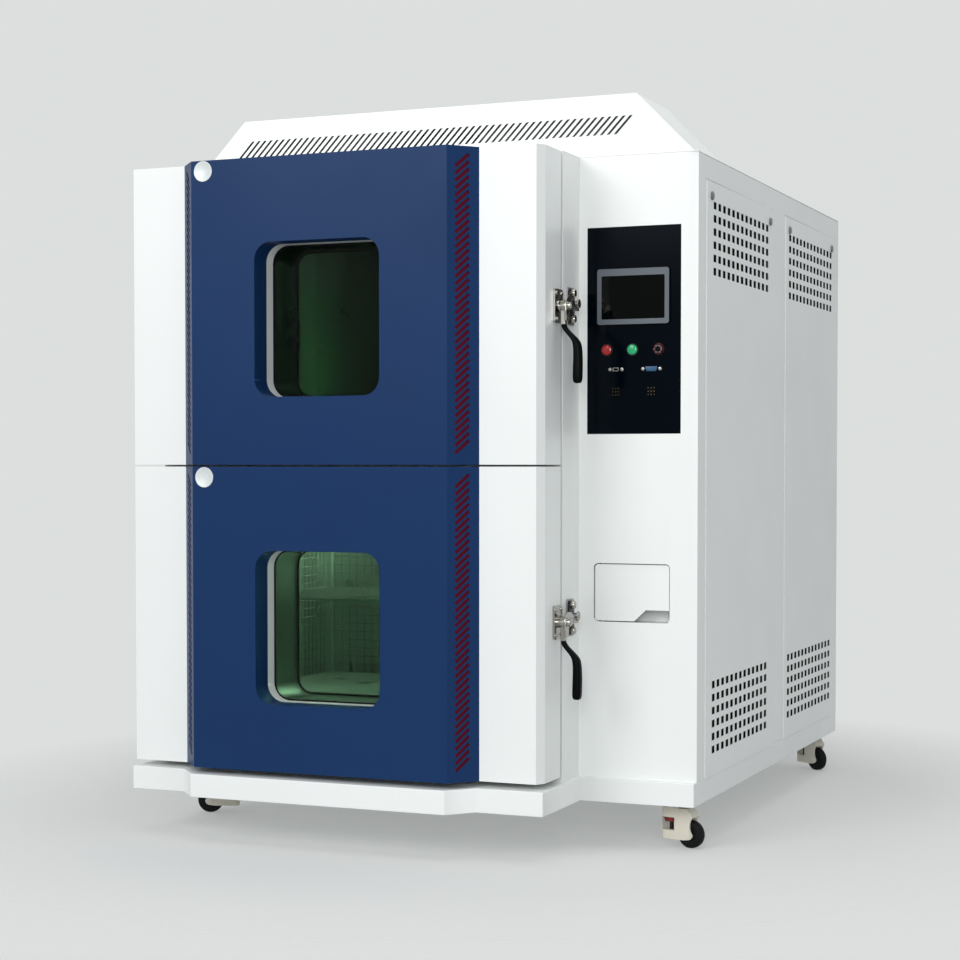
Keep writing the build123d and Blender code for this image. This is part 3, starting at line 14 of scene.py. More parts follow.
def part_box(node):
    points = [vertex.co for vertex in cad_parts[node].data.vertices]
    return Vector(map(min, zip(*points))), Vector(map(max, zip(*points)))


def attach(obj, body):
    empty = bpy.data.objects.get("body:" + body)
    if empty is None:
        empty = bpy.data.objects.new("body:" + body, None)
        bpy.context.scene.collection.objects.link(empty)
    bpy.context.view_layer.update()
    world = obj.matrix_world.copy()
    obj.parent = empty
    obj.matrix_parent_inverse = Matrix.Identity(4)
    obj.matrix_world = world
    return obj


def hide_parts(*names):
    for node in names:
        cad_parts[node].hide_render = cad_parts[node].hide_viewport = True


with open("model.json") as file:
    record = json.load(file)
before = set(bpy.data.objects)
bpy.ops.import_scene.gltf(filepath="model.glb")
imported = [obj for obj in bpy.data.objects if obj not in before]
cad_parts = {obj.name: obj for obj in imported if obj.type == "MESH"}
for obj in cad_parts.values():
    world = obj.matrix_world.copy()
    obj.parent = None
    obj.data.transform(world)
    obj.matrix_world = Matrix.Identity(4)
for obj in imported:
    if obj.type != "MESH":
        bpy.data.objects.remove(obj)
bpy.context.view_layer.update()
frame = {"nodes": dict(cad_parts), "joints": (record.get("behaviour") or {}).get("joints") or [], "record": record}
nodes = frame["nodes"]
joints = {entry["name"]: entry for entry in frame["joints"]}
scene = bpy.context.scene
MM = 0.001
SIDES = ("upper", "lower")
CORNERS = ("front_left", "front_right", "rear_left", "rear_right")


# Camera: the photograph's place, a little to the right of the front and about a metre up
def make_camera():
    data = bpy.data.cameras.new("camera")
    data.sensor_width = 36
    data.lens = 75.4
    data.shift_y = 0.054
    data.clip_end = 60
    camera = bpy.data.objects.new("camera", data)
    camera.location = (2.3217, -5.8448, 1.0430)
    tilt_down, turn_left = 1.889, 22.62
    camera.rotation_euler = (radians(90 - tilt_down), 0, radians(turn_left))
    scene.collection.objects.link(camera)
    scene.camera = camera


make_camera()


# Materials
def tone(code):
    """An sRGB hex colour as linear light, opaque."""
    out = []
    for i in (1, 3, 5):
        c = int(code[i : i + 2], 16) / 255
        out.append(c / 12.92 if c <= 0.04045 else ((c + 0.055) / 1.055) ** 2.4)
    return (*out, 1)


def grey(value):
    return (value, value, value, 1)


def shade(colour, factor):
    return (colour[0] * factor, colour[1] * factor, colour[2] * factor, 1)


def add(tree, kind, settings=None, links=None):
    """Adds a node: settings are properties or input values, links are (node, output) pairs."""
    node = tree.nodes.new(kind)
    for key, value in (settings or {}).items():
        if isinstance(key, str) and hasattr(node, key) and key not in node.inputs:
            setattr(node, key, value)
        else:
            node.inputs[key].default_value = value
    for key, (source, output) in (links or {}).items():
        tree.links.new(source.outputs[output], node.inputs[key])
    return node


def start(name, **settings):
    """A material with only its shader, whose own sockets take the settings as uniform values."""
    material = bpy.data.materials.new(name)
    material.use_nodes = True
    tree = material.node_tree
    tree.nodes.clear()
    shader = add(tree, "ShaderNodeBsdfPrincipled", settings)
    add(tree, "ShaderNodeOutputMaterial", links={"Surface": (shader, "BSDF")})
    return material, tree, shader


def ramp(tree, source, output, low, high, colour_low, colour_high):
    """A two-stop colour ramp driven by another node's output."""
    node = add(tree, "ShaderNodeValToRGB", links={"Fac": (source, output)})
    node.color_ramp.elements[0].position = low
    node.color_ramp.elements[0].color = colour_low
    node.color_ramp.elements[1].position = high
    node.color_ramp.elements[1].color = colour_high
    return node


def noise(tree, source, output, scale, detail):
    """Noise of a scale in cells per metre, placed by another node's output."""
    settings = {"Scale": scale, "Detail": detail}
    return add(tree, "ShaderNodeTexNoise", settings, {"Vector": (source, output)})


def drive(tree, source, output, shader, socket):
    tree.links.new(source.outputs[output], shader.inputs[socket])


def relief(tree, source, shader, strength, depth):
    """A bump of a depth in mm on the shader, from a texture."""
    bump = add(
        tree,
        "ShaderNodeBump",
        {"Strength": strength, "Distance": depth * MM},
        {"Height": (source, "Fac")},
    )
    drive(tree, bump, "Normal", shader, "Normal")


def coat(name, code, roughness, grain, depth, gloss=0.5, soil=0.94):
    """Paint or plastic: orange peel of a grain in mm, faint cloudy tone, and duller patches."""
    material, tree, shader = start(name, **{"Specular IOR Level": gloss})
    place = add(tree, "ShaderNodeTexCoord")
    peel = noise(tree, place, "Object", 1 / (grain * MM), 3.0)
    cloud = noise(tree, place, "Object", 3.5, 5.0)
    colour = tone(code)
    tint = ramp(tree, cloud, "Fac", 0.3, 0.7, shade(colour, soil), colour)
    drive(tree, tint, "Color", shader, "Base Color")
    dull = ramp(tree, cloud, "Fac", 0.25, 0.75, grey(roughness + 0.06), grey(roughness - 0.04))
    drive(tree, dull, "Color", shader, "Roughness")
    relief(tree, peel, shader, 0.35, depth)
    return material


def brushed(name, code, roughness, stretch, metallic=1.0, depth=0.02):
    """Brushed or cast metal: scratches or pits by the stretch, with a slow change of sheen."""
    material, tree, shader = start(name, Metallic=metallic)
    place = add(tree, "ShaderNodeTexCoord")
    scale = add(tree, "ShaderNodeMapping", {"Scale": stretch}, {"Vector": (place, "Object")})
    lines = noise(tree, scale, "Vector", 1.0, 4.0)
    cloud = noise(tree, place, "Object", 6.0, 3.0)
    colour = tone(code)
    tint = ramp(tree, lines, "Fac", 0.3, 0.7, shade(colour, 0.86), colour)
    drive(tree, tint, "Color", shader, "Base Color")
    swing = 0.16
    sheen = add(
        tree,
        "ShaderNodeMath",
        {"operation": "MULTIPLY_ADD", 1: swing, 2: roughness - swing / 2},
        {0: (cloud, "Fac")},
    )
    drive(tree, sheen, 0, shader, "Roughness")
    relief(tree, lines, shader, 0.3, depth)
    return material


def tinted_glass(name, code, roughness, index):
    """Tinted pane: clear to look through, with faint dust that dulls it in patches."""
    settings = {"Base Color": tone(code), "Transmission Weight": 1.0, "IOR": index}
    material, tree, shader = start(name, **settings)
    place = add(tree, "ShaderNodeTexCoord")
    dust = noise(tree, place, "Object", 9.0, 6.0)
    film = ramp(tree, dust, "Fac", 0.2, 0.9, grey(roughness), grey(roughness + 0.06))
    drive(tree, film, "Color", shader, "Roughness")
    return material


def perforated(name, code, hole_shade_code, pitch):
    """Fine perforated sheet: round holes at a pitch in mm, painted in a darker colour as the shade seen through
    them.
    """
    material, tree, shader = start(name, **{"Roughness": 0.7, "Specular IOR Level": 0.08})
    place = add(tree, "ShaderNodeTexCoord")
    cells = add(
        tree,
        "ShaderNodeTexVoronoi",
        {"Scale": 1 / (pitch * MM), "Randomness": 0.0},
        {"Vector": (place, "Object")},
    )
    # Holes take the darker colour: painted shade
    tint = ramp(tree, cells, "Distance", 0.28, 0.36, tone(hole_shade_code), tone(code))
    drive(tree, tint, "Color", shader, "Base Color")
    return material


# Fine powder coat: a soft sheen with orange peel too small to see as bumps
white_coat = coat("white_powder_coat", "#eef1ef", 0.34, 1.2, 0.05, soil=0.975)
# Satin powder coat on the fascias: deeper colour, slightly stronger peel that breaks the highlight
blue_coat = coat("blue_powder_coat", "#14335e", 0.36, 1.4, 0.08, gloss=0.13, soil=0.92)
# Gloss acrylic over print: near black, sharp reflections
black_acrylic = coat("black_acrylic", "#01070f", 0.14, 6.0, 0.02, gloss=0.04, soil=0.9)
# Moulded grey plastic of the screen's bezel: fine spark-eroded grain
bezel_plastic = coat("bezel_plastic", "#5d646b", 0.42, 0.7, 0.06, gloss=0.3, soil=0.92)
# Screen that is switched off: black glass with a sharp, weak reflection
screen_black = coat("screen_glass", "#020504", 0.06, 9.0, 0.01, gloss=0.07, soil=0.9)
# Satin foil of the two blank badges: nearly white, slightly cloudy
badge_foil = brushed("badge_foil", "#dde3e3", 0.42, (220, 220, 220), metallic=0.15)
# Clear red and green button caps: wet-looking plastic with a deep colour
red_lens = coat("red_button_cap", "#a50d12", 0.18, 3.0, 0.02, gloss=0.6, soil=0.85)
green_lens = coat("green_button_cap", "#12a86a", 0.18, 3.0, 0.02, gloss=0.6, soil=0.85)
# Dark red buzzer shell: duller than the caps
buzzer_red = coat("buzzer_shell", "#4a0c10", 0.35, 1.0, 0.05, soil=0.85)
# Blue insert of the serial port: matt moulded plastic
port_blue = coat("port_insert", "#174c75", 0.4, 0.8, 0.05, soil=0.9)
# Keeper blocks, button collars and screw-down feet: near-black metal with a fine pitted grain
# The near-black is painted shade under the latches and in the caster windows, and a painted dark reflection on the
# collars
dark_metal_shade = brushed("dark_metal_painted_shade", "#2c2c2e", 0.36, (260, 260, 260), metallic=0.8, depth=0.08)
# Brass pins of the temperature protectors: small warm points
brass_dots = brushed("brass_pins", "#4d4736", 0.4, (400, 400, 400))
# Open foam of the filter mats behind the vent grids: dull and almost black
filter_foam = coat("filter_foam", "#0a0b0c", 0.9, 2.5, 0.6, gloss=0.1, soil=0.7)
# Black moulded plastic of grips and ports: fine grain, low sheen
black_plastic = coat("black_plastic", "#020407", 0.32, 0.8, 0.08, gloss=0.06, soil=0.85)
# Caster housings: cast metal under cream enamel, with a pebbled skin
cream_enamel = coat("cream_enamel", "#dcd7c8", 0.42, 2.2, 0.25, soil=0.9)
# Black nylon and rubber of wheels and pane borders
black_rubber = coat("black_rubber", "#0b0c0e", 0.6, 1.0, 0.1, gloss=0.15, soil=0.8)
# Red moulded plastic of the feet's thumbwheels
red_plastic = coat("red_plastic", "#7a1316", 0.35, 1.0, 0.05, soil=0.85)
# Silicone door seal: matt, off-white, a little dusty
silicone = coat("silicone_seal", "#cfcdc6", 0.65, 1.6, 0.1, gloss=0.3, soil=0.9)
# Machine enamel of motors and compressors
machine_black = coat("machine_enamel", "#17191c", 0.4, 2.0, 0.15, soil=0.85)
# Dark grey powder coat
grey_coat = coat("grey_powder_coat", "#43474a", 0.4, 1.4, 0.06)
# Cut insulation: matt, straw coloured, coarse cell texture
cut_foam = coat("cut_foam", "#d8cda4", 0.85, 3.0, 0.5, gloss=0.2, soil=0.85)
# Brushed stainless of the chamber, streaks running upright
stainless = brushed("brushed_stainless", "#b9bab8", 0.3, (900, 900, 6))
# Bright plate of latches, bosses and basket mesh: almost a mirror, slight pitting
bright_plate = brushed("bright_plate", "#aeaba5", 0.14, (90, 90, 90), depth=0.03)
# Plated lock heads, a darker copy of the bright plate: bright in the highlights, dark in between; the darker
# colour is a painted dark reflection
lock_plate_painted_dark = brushed("lock_plate_painted_dark", "#737577", 0.2, (120, 120, 120), depth=0.03)
# Zinc-plated steel of keepers, plates and screws: greyer and softer than the bright plate
zinc_plate = brushed("zinc_plate", "#a3a4a2", 0.34, (120, 120, 120), depth=0.03)
# Plain cast aluminium of the fans
cast_aluminium = brushed("cast_aluminium", "#a8aaad", 0.45, (300, 300, 300), depth=0.06)
# Green tinted panes; the low index keeps their reflections weak
green_glass = tinted_glass("green_glass", "#a0bfa8", 0.01, 1.15)
# Dark red mesh behind the slots of the bevels; its holes are painted darker as painted shade
red_mesh = perforated("red_mesh", "#66132a", "#2e0812", 2.4)

node_materials = {
    "white_coat": white_coat,
    "blue_coat": blue_coat,
    "black_coat": machine_black,
    "grey_coat": grey_coat,
    "caster_paint": cream_enamel,
    "plated_steel": zinc_plate,
    "stainless": stainless,
    "chrome": bright_plate,
    "aluminium": cast_aluminium,
    "foam": cut_foam,
    "rubber": silicone,
    "glass": green_glass,
    "black_plastic": black_plastic,
    "red_plastic": red_plastic,
    "green_plastic": green_lens,
    "caster_nylon": black_rubber,
}
node_slots = {entry["node"]: entry["material_slot"] for entry in frame["record"]["subparts"]}
node_bodies = {
    node: body
    for body, members in frame["record"]["behaviour"]["bodies"].items()
    for node in members
}
for name, thing in nodes.items():
    chosen = node_materials[node_slots[name]]
    if name == "control_panel":
        chosen = black_acrylic
    if name == "panel_instruments":
        chosen = black_plastic
    # The feet take the near-black metal: painted shade of the caster housing's window
    if name.startswith("caster_foot"):
        chosen = dark_metal_shade
    # The lock heads take the darker copy of the plate, a painted dark reflection
    if name.startswith("panel_lock"):
        chosen = lock_plate_painted_dark
    for material_slot in thing.material_slots:
        material_slot.material = chosen


# Mesh helpers: all take mm, and a piece rides on a CAD body with a material
WELD = 1e-6
FLAT_ANGLE = 0.6
FOLD_ANGLE = 25
EDGE_ANGLE = 50
SHEET_CREASE = 38
SOLID_CREASE = 35
ROD_CREASE = 50
SKIN_CREASE = 60


def publish(name, mesh, material, body, crease):
    """Links a finished mesh as a piece that rides on a CAD body, smooth up to the crease angle."""
    thing = bpy.data.objects.new(name, mesh)
    scene.collection.objects.link(thing)
    mesh.materials.clear()
    mesh.materials.append(material)
    mesh.polygons.foreach_set("use_smooth", [True] * len(mesh.polygons))
    mesh.set_sharp_from_angle(angle=radians(crease))
    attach(thing, body)
    return thing


def finish_mesh(name, bm):
    mesh = bpy.data.meshes.new(name)
    bmesh.ops.recalc_face_normals(bm, faces=bm.faces)
    bm.to_mesh(mesh)
    bm.free()
    return mesh


def bevel(bm, edges, size, segments):
    bmesh.ops.bevel(
        bm, geom=edges, offset=size * MM, segments=segments, profile=0.5, affect="EDGES",
        clamp_overlap=True,
    )


def join(bm, low, high):
    """Faces between two loops of points; a second loop of one point is a tip."""
    count = len(low)
    for i in range(count):
        j = (i + 1) % count
        if len(high) == 1:
            bm.faces.new((low[i], low[j], high[0]))
        else:
            bm.faces.new((low[i], low[j], high[j], high[i]))


def soften(node, fold, small=0.0, least=0.03, area=2e-3):
    """A piece in place of a CAD node, with rounds of `fold` on folds and `small` on sharp edges.

    A fold is longer than `least` metres, between faces of more than `area` square metres.
    """
    source = nodes[node]
    bm = bmesh.new()
    bm.from_mesh(source.data)
    bmesh.ops.remove_doubles(bm, verts=bm.verts, dist=WELD)
    bmesh.ops.dissolve_limit(
        bm, angle_limit=radians(FLAT_ANGLE), verts=bm.verts, edges=bm.edges,
        use_dissolve_boundaries=False,
    )
    bm.normal_update()

    def convex(edge, angle):
        return (
            len(edge.link_faces) == 2
            and edge.is_convex
            and edge.calc_face_angle(0) > radians(angle)
        )

    folds = [
        e
        for e in bm.edges
        if convex(e, FOLD_ANGLE)
        and e.calc_length() > least
        and min(f.calc_area() for f in e.link_faces) > area
    ]
    if folds:
        bevel(bm, folds, fold, 3)
    if small:
        bm.normal_update()
        bevel(bm, [e for e in bm.edges if convex(e, EDGE_ANGLE)], small, 2)
    thing = publish(
        f"{node}_look",
        finish_mesh(f"{node}_look", bm),
        source.material_slots[0].material,
        node_bodies[node],
        SHEET_CREASE,
    )
    weighted = thing.modifiers.new("weighted", "WEIGHTED_NORMAL")
    weighted.keep_sharp = True
    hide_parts(node)


def turned(name, profile, origins, axis, material, body, steps=40, hollow=False):
    """Turned pieces, one at each origin, from a profile of (radius, distance along the axis).

    A hollow profile is closed on itself, the others have caps or end in a tip.
    """
    turn = Vector((0, 0, 1)).rotation_difference(Vector(axis)).to_matrix().to_4x4()
    bm = bmesh.new()
    for origin in origins:
        place = Matrix.Translation(Vector(origin) * MM) @ turn
        loops = []
        for radius, along in profile:
            points = []
            for i in range(steps if radius > 0 else 1):
                angle = 2 * pi * i / steps
                point = Vector((radius * cos(angle), radius * sin(angle), along)) * MM
                points.append(bm.verts.new(place @ point))
            loops.append(points)
        pairs = list(zip(loops, loops[1:]))
        if hollow:
            pairs.append((loops[-1], loops[0]))
        else:
            bm.faces.new(loops[0][::-1])
        for low, high in pairs:
            join(bm, low, high)
    return publish(name, finish_mesh(name, bm), material, body, SOLID_CREASE)


def prism(name, outline, plane, start_mm, end_mm, material, body, edge=0.0):
    """A flat outline pushed out along an axis, with a round on its edges.

    The plane says what the outline's two values are and which axis it is pushed along:
    'front' is X, Z along Y, 'side' is Y, Z along X, and 'top' is X, Y along Z.
    """
    bm = bmesh.new()
    layers = []
    for depth in (start_mm, end_mm):
        layer = []
        for a, b in outline:
            point = {"front": (a, depth, b), "side": (depth, a, b), "top": (a, b, depth)}[plane]
            layer.append(bm.verts.new(Vector(point) * MM))
        layers.append(layer)
    bm.faces.new(layers[0])
    bm.faces.new(layers[1][::-1])
    join(bm, *layers)
    bmesh.ops.recalc_face_normals(bm, faces=bm.faces)
    if edge:
        bevel(bm, [e for e in bm.edges if e.calc_face_angle(0) > radians(SOLID_CREASE)], edge, 3)
    publish(name, finish_mesh(name, bm), material, body, SOLID_CREASE)


def rounded(cx, cy, width, height, radius, steps=8):
    """Outline of a rounded rectangle in mm."""
    points = []
    for i, (sx, sy) in enumerate(((1, 1), (-1, 1), (-1, -1), (1, -1))):
        x = cx + sx * (width / 2 - radius)
        y = cy + sy * (height / 2 - radius)
        for k in range(steps + 1):
            turn = pi / 2 * (i + k / steps)
            points.append((x + radius * cos(turn), y + radius * sin(turn)))
    return points


def ring(name, outer, inner, front, back, material, body):
    """A flat frame facing the front, between two outlines with as many points each."""
    bm = bmesh.new()
    loops = [
        [bm.verts.new(Vector((a, depth, b)) * MM) for a, b in outline]
        for outline, depth in ((outer, front), (inner, front), (inner, back), (outer, back))
    ]
    for k, loop in enumerate(loops):
        join(bm, loop, loops[(k + 1) % 4])
    publish(name, finish_mesh(name, bm), material, body, SOLID_CREASE)


def rods(name, runs, radius, material, body, sides):
    """Straight round bars joined in one mesh: each run is a start and an end."""
    bm = bmesh.new()
    for start_point, end_point in runs:
        a = Vector(start_point) * MM
        b = Vector(end_point) * MM
        made = bmesh.ops.create_cone(
            bm, cap_ends=True, segments=sides, radius1=radius * MM, radius2=radius * MM,
            depth=(b - a).length,
        )
        turn = Vector((0, 0, 1)).rotation_difference(b - a).to_matrix().to_4x4()
        place = Matrix.Translation((a + b) / 2) @ turn
        bmesh.ops.transform(bm, matrix=place, verts=made["verts"])
    publish(name, finish_mesh(name, bm), material, body, ROD_CREASE)


def skin(name, sections, material, body):
    """A cast or moulded form: loops of points, capped at both ends and subdivided."""
    bm = bmesh.new()
    loops = [[bm.verts.new(Vector(p) * MM) for p in section] for section in sections]
    for low, high in zip(loops, loops[1:]):
        join(bm, low, high)
    bm.faces.new(loops[0][::-1])
    bm.faces.new(loops[-1])
    thing = publish(name, finish_mesh(name, bm), material, body, SKIN_CREASE)
    subdivide = thing.modifiers.new("subdivide", "SUBSURF")
    subdivide.levels = subdivide.render_levels = 2
    return thing


def span(node):
    """A CAD node's lowest and highest corners, in mm."""
    low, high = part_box(node)
    return low / MM, high / MM


def pivot(joint):
    return Vector(joints[joint]["pos_m"]) / MM


def both(reach):
    return (-reach, reach)


# Sheet metal with rounded folds in place of the CAD's sharp ones
for name in ("base_plinth", "roof_hood", "cabinet_cladding", "front_column", "right_side_frame"):
    soften(name, fold=2.5)
for name in ("right_front_panel", "right_rear_panel"):
    soften(name, fold=2.0)
soften("access_flap", fold=0.8, area=1e-4)
for side in SIDES:
    soften(f"{side}_door_fascia", fold=3.0)
    soften(f"{side}_door_pan", fold=3.0)
    soften(f"{side}_door_gasket", fold=3.0, area=1e-3)
    soften(f"{side}_door_hardware", fold=1.2, least=0.01, area=1e-5)
    soften(f"{side}_latch_lever", fold=1.2, least=0.005, area=1e-5)
soften("cabinet_hardware", fold=1.2, least=0.01, area=1e-5)
for corner in CORNERS:
    soften(f"caster_yoke_{corner}", fold=1.5, least=0.004, area=2e-5)
    soften(f"caster_foot_{corner}", fold=0.8, least=0.002, area=1e-5)

FRONT = (0, -1, 0)
RIGHT = (1, 0, 0)
LEFT = (-1, 0, 0)
DOWN = (0, 0, -1)
# Kept between faces that would otherwise lie in one plane
CLEAR = 0.1
# Profiles for turned pieces
BOLT = ((5.5, 0), (5.5, 1.6), (4.2, 3.4), (1.6, 4.0), (0, 4.0))
SCREW = ((3.4, 0), (3.4, 0.7), (2.6, 1.5), (1.2, 1.8), (0, 1.8))
BADGE = ((27, 0), (28, 0.4), (28, 1.7), (27.2, 2.3), (25, 2.3), (24.2, 1.8), (0, 1.8))
CLAW_NUT = ((13, 0), (13, 2), (10.5, 3), (10.5, 9), (8.5, 11), (4, 12.5), (0, 12.8))
KEEPER_BOSS = ((11, 0), (11, 7), (9.5, 9.5), (6, 11), (0, 11.4))
STUD_FLANGE = ((8, 0), (12, 1), (12.5, 3), (12, 5), (8, 6.5), (0, 7))
BUTTON_CAP = ((13.8, 0), (13.9, 3.6), (13.2, 5.2), (11, 6.4), (7, 6.9), (0, 7.0))
BUTTON_COLLAR = ((14.1, 0), (17.5, 0), (17.5, 4.6), (16.4, 6.2), (15, 6.2), (14.1, 5.4))
BUZZER_DOME = ((16.6, 0), (16.6, 3), (15.4, 7.5), (12, 10.2), (7.5, 11.2), (7, 9), (0, 9))
BUZZER_MOUTH = ((2.2, 0), (2.2, 1), (0, 1))
PROTECTOR_DOT = ((1.7, 0), (1.7, 0.8), (0, 1.2))
TREAD = (
    (5.6, 2), (13, 2), (15, 0.6), (29, 0.3), (32, 1), (35, 2.2), (37.2, 5), (37.95, 9),
    (37.95, 19), (37.2, 23), (35, 25.8), (32, 27), (29, 27.7), (15, 27.4), (13, 26), (5.6, 26),
)
SWIVEL_RACE = ((27.5, 0), (31, 1), (31.5, 3.5), (30, 6), (27.5, 6.6))

# Doors: blank badges, mesh behind the bevel slots, pane borders and seals, hinge screws
BEVEL_RUN = 63
BADGE_ASIDE = 37.5
BADGE_DROP = 29.5
# The mesh in section: way along the bevel, way behind its face
MESH_SECTION = ((14, 4.5), (80, 4.5), (80, 6), (14, 6))
MESH_MARGIN = 12
WINDOW_LAP = 7
WINDOW_CORNER = 50
# Each border's outer and inner inset from the window's edge, and its front and back before the pane
OUTER_BORDER = (0.5, 4.5, 1.6, 2 * CLEAR)
INNER_BORDER = (4, 10, 8.5, 6.4)
LEAF_REACH = 11.3
LEAF_RISE = 307
LEAF_SCREW_COLUMNS = (26, 48)
LEAF_SCREW_ROWS = (-42, 0, 42)
for side in SIDES:
    body = f"{side}_door"
    low, high = span(f"{side}_door_fascia")
    badge = (low.x + BEVEL_RUN + BADGE_ASIDE, low.y, high.z - BADGE_DROP)
    turned(f"{side}_badge", BADGE, [badge], FRONT, badge_foil, body, steps=64)
    along = Vector((BEVEL_RUN, high.y - low.y)).normalized()
    inward = Vector((-along.y, along.x))
    for hand, corner_x, sense in (
        ("right", high.x - BEVEL_RUN, 1),
        ("left", low.x + BEVEL_RUN, -1),
    ):
        quad = []
        for run, inset in MESH_SECTION:
            step = along * run + inward * inset
            quad.append((corner_x + sense * step.x, low.y + step.y))
        prism(
            f"{side}_{hand}_slot_mesh", quad, "top", low.z + MESH_MARGIN, high.z - MESH_MARGIN,
            red_mesh, body,
        )
    low, high = span(f"{side}_window_panes")
    cx, cz = (low.x + high.x) / 2, (low.z + high.z) / 2
    wide, tall = high.x - low.x - 2 * WINDOW_LAP, high.z - low.z - 2 * WINDOW_LAP
    for label, y_pane, (outer, inner, front, back) in (
        ("pane_border", low.y, OUTER_BORDER),
        ("inner_pane_border", high.y, INNER_BORDER),
    ):
        ring(
            f"{side}_{label}",
            rounded(cx, cz, wide - 2 * outer, tall - 2 * outer, WINDOW_CORNER - outer),
            rounded(cx, cz, wide - 2 * inner, tall - 2 * inner, WINDOW_CORNER - inner),
            y_pane - front, y_pane - back, black_rubber, body,
        )
    x_leaf = span(f"{side}_door_hardware")[0].x + LEAF_REACH
    hinge = pivot(f"{side}_door_hinge")
    leaf_screws = [
        (x_leaf, hinge.y - a, hinge.z + rise + b)
        for rise in (-LEAF_RISE, 0, LEAF_RISE) for a in LEAF_SCREW_COLUMNS for b in LEAF_SCREW_ROWS
    ]
    turned(
        f"{side}_hinge_screws", SCREW, leaf_screws, LEFT, zinc_plate, body,
        steps=16,
    )

# Latches: bolted base plate, bright claw with its nut, keeper with two bosses, and moulded grip
PLATE_THICKNESS = 6
PLATE_SHIFT = 2
PLATE_BOLT_Y, PLATE_BOLT_Z = 20, 34
# The claw round the latch's pivot
CLAW = (
    (-11, -40), (-15, -18), (-17, 2), (-13, 16), (-2, 25), (14, 28), (32, 25), (48, 17),
    (60, 6), (58, -3), (44, 2), (28, 4), (17, -2), (12, -18), (9, -40),
)
CLAW_TOP = 6
STUD_Y, STUD_Z = 89, 12
FLANGE_GAP = 0.8
KEEPER_SIZE = (40, 92)
KEEPER_CORNER = 10
KEEPER_SHIFT_Y, KEEPER_SHIFT_Z = 3, 6
KEEPER_BACK, KEEPER_FRONT = -1, 5
KEEPER_BOSSES_Z = (-28, 41)
# The grip from top to bottom: drop below the pivot, way outwards, thickness, width
GRIP = (
    (45, 0, 13, 13), (52, 0.5, 14, 15), (62, 5, 16, 19), (76, 19, 18, 23), (90, 33, 20, 27),
    (104, 39, 22, 29), (140, 40, 24, 30), (180, 39, 25, 31), (198, 38.5, 24, 30),
    (205.5, 38.5, 17, 22),
)
GRIP_START = 6
# One section of the grip, in halves of its thickness and width
GRIP_SECTION = (
    (1, -0.55), (1, 0.55), (0.6, 1), (-0.6, 1), (-1, 0.55), (-1, -0.55), (-0.6, -1), (0.6, -1),
)
for side in SIDES:
    centre = pivot(f"{side}_latch_turn")
    lever_low, lever_high = span(f"{side}_latch_lever")
    x_plate = span(f"{side}_door_pan")[1].x + PLATE_THICKNESS
    y_plate = centre.y + PLATE_SHIFT
    turned(
        f"{side}_latch_bolts", BOLT,
        [
            (x_plate, y_plate + a, centre.z + b)
            for a in both(PLATE_BOLT_Y) for b in both(PLATE_BOLT_Z)
        ],
        RIGHT, bright_plate, f"{side}_door", steps=20,
    )
    prism(
        f"{side}_latch_claw", [(centre.y + a, centre.z + b) for a, b in CLAW], "side",
        lever_high.x + 2 * CLEAR, lever_high.x + CLAW_TOP,
        bright_plate, f"{side}_latch", edge=1.8,
    )
    turned(
        f"{side}_latch_nut", CLAW_NUT, [(lever_high.x + CLAW_TOP, centre.y, centre.z)],
        RIGHT, bright_plate, f"{side}_latch", steps=24,
    )
    y_stud = centre.y + STUD_Y
    y_keeper = y_stud + KEEPER_SHIFT_Y
    z_keeper = centre.z + KEEPER_SHIFT_Z
    # The keeper block's near-black is painted shade under the latch
    prism(
        f"{side}_keeper_block", rounded(y_keeper, z_keeper, *KEEPER_SIZE, KEEPER_CORNER, steps=5),
        "side", x_plate + KEEPER_BACK, x_plate + KEEPER_FRONT,
        dark_metal_shade, "cabinet", edge=1.5,
    )
    turned(
        f"{side}_keeper_bosses", KEEPER_BOSS,
        [(x_plate + KEEPER_FRONT, y_keeper, centre.z + b) for b in KEEPER_BOSSES_Z],
        RIGHT, bright_plate, "cabinet", steps=24,
    )
    turned(
        f"{side}_stud_flange", STUD_FLANGE,
        [(lever_high.x + FLANGE_GAP, y_stud, centre.z + STUD_Z)],
        RIGHT, bright_plate, "cabinet", steps=28,
    )
    sections = [
        [
            (
                lever_low.x + GRIP_START + offset + a * thick / 2,
                centre.y + b * wide / 2,
                centre.z - drop,
            )
            for a, b in GRIP_SECTION
        ]
        for drop, offset, thick, wide in GRIP
    ]
    grip = skin(f"{side}_grip", sections, black_plastic, f"{side}_latch")
    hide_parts(f"{side}_latch_grip")

# Control panel: screen, raised bezel, buttons with collars, buzzer, ports and protector dots
BEZEL_RISE, BEZEL_FRONT, BEZEL_LIP = 91, 8, 2.2
BEZEL_SIZE, BEZEL_CORNER = (203, 150), 7
SCREEN_DROP, SCREEN_RISE = 2.5, 0.9
SCREEN_HOLE, SCREEN_SIZE, SCREEN_CORNER = (179, 117), (178, 116), 3
CAP_RISE = 5
MOUTH_COUNT, MOUTH_CIRCLE, MOUTH_RISE = 6, 9.6, 10.1
PORT_ASIDE, PORT_DROP = 50.5, 105
USB_SIZE, USB_CORNER = (17, 9.5), 1.5
USB_HOLE, USB_HOLE_CORNER = (14, 6), 0.8
USB_RISE, SERIAL_RISE = 4.2, 4.6
USB_SCREW_ASIDE, SERIAL_SCREW_ASIDE = 17, 24
D_SHELL = (
    (-17, 5), (-15.5, 6.5), (15.5, 6.5), (17, 5), (14, -5), (12.5, -6.5), (-12.5, -6.5), (-14, -5),
)
DOTS_DROP, DOTS_RISE, DOT_PITCH_X, DOT_PITCH_Z = 165.5, 3, 8.5, 9
low, high = span("control_panel")
x_panel, z_panel = (low.x + high.x) / 2, (low.z + high.z) / 2
y_face = low.y
low, high = span("stop_button")
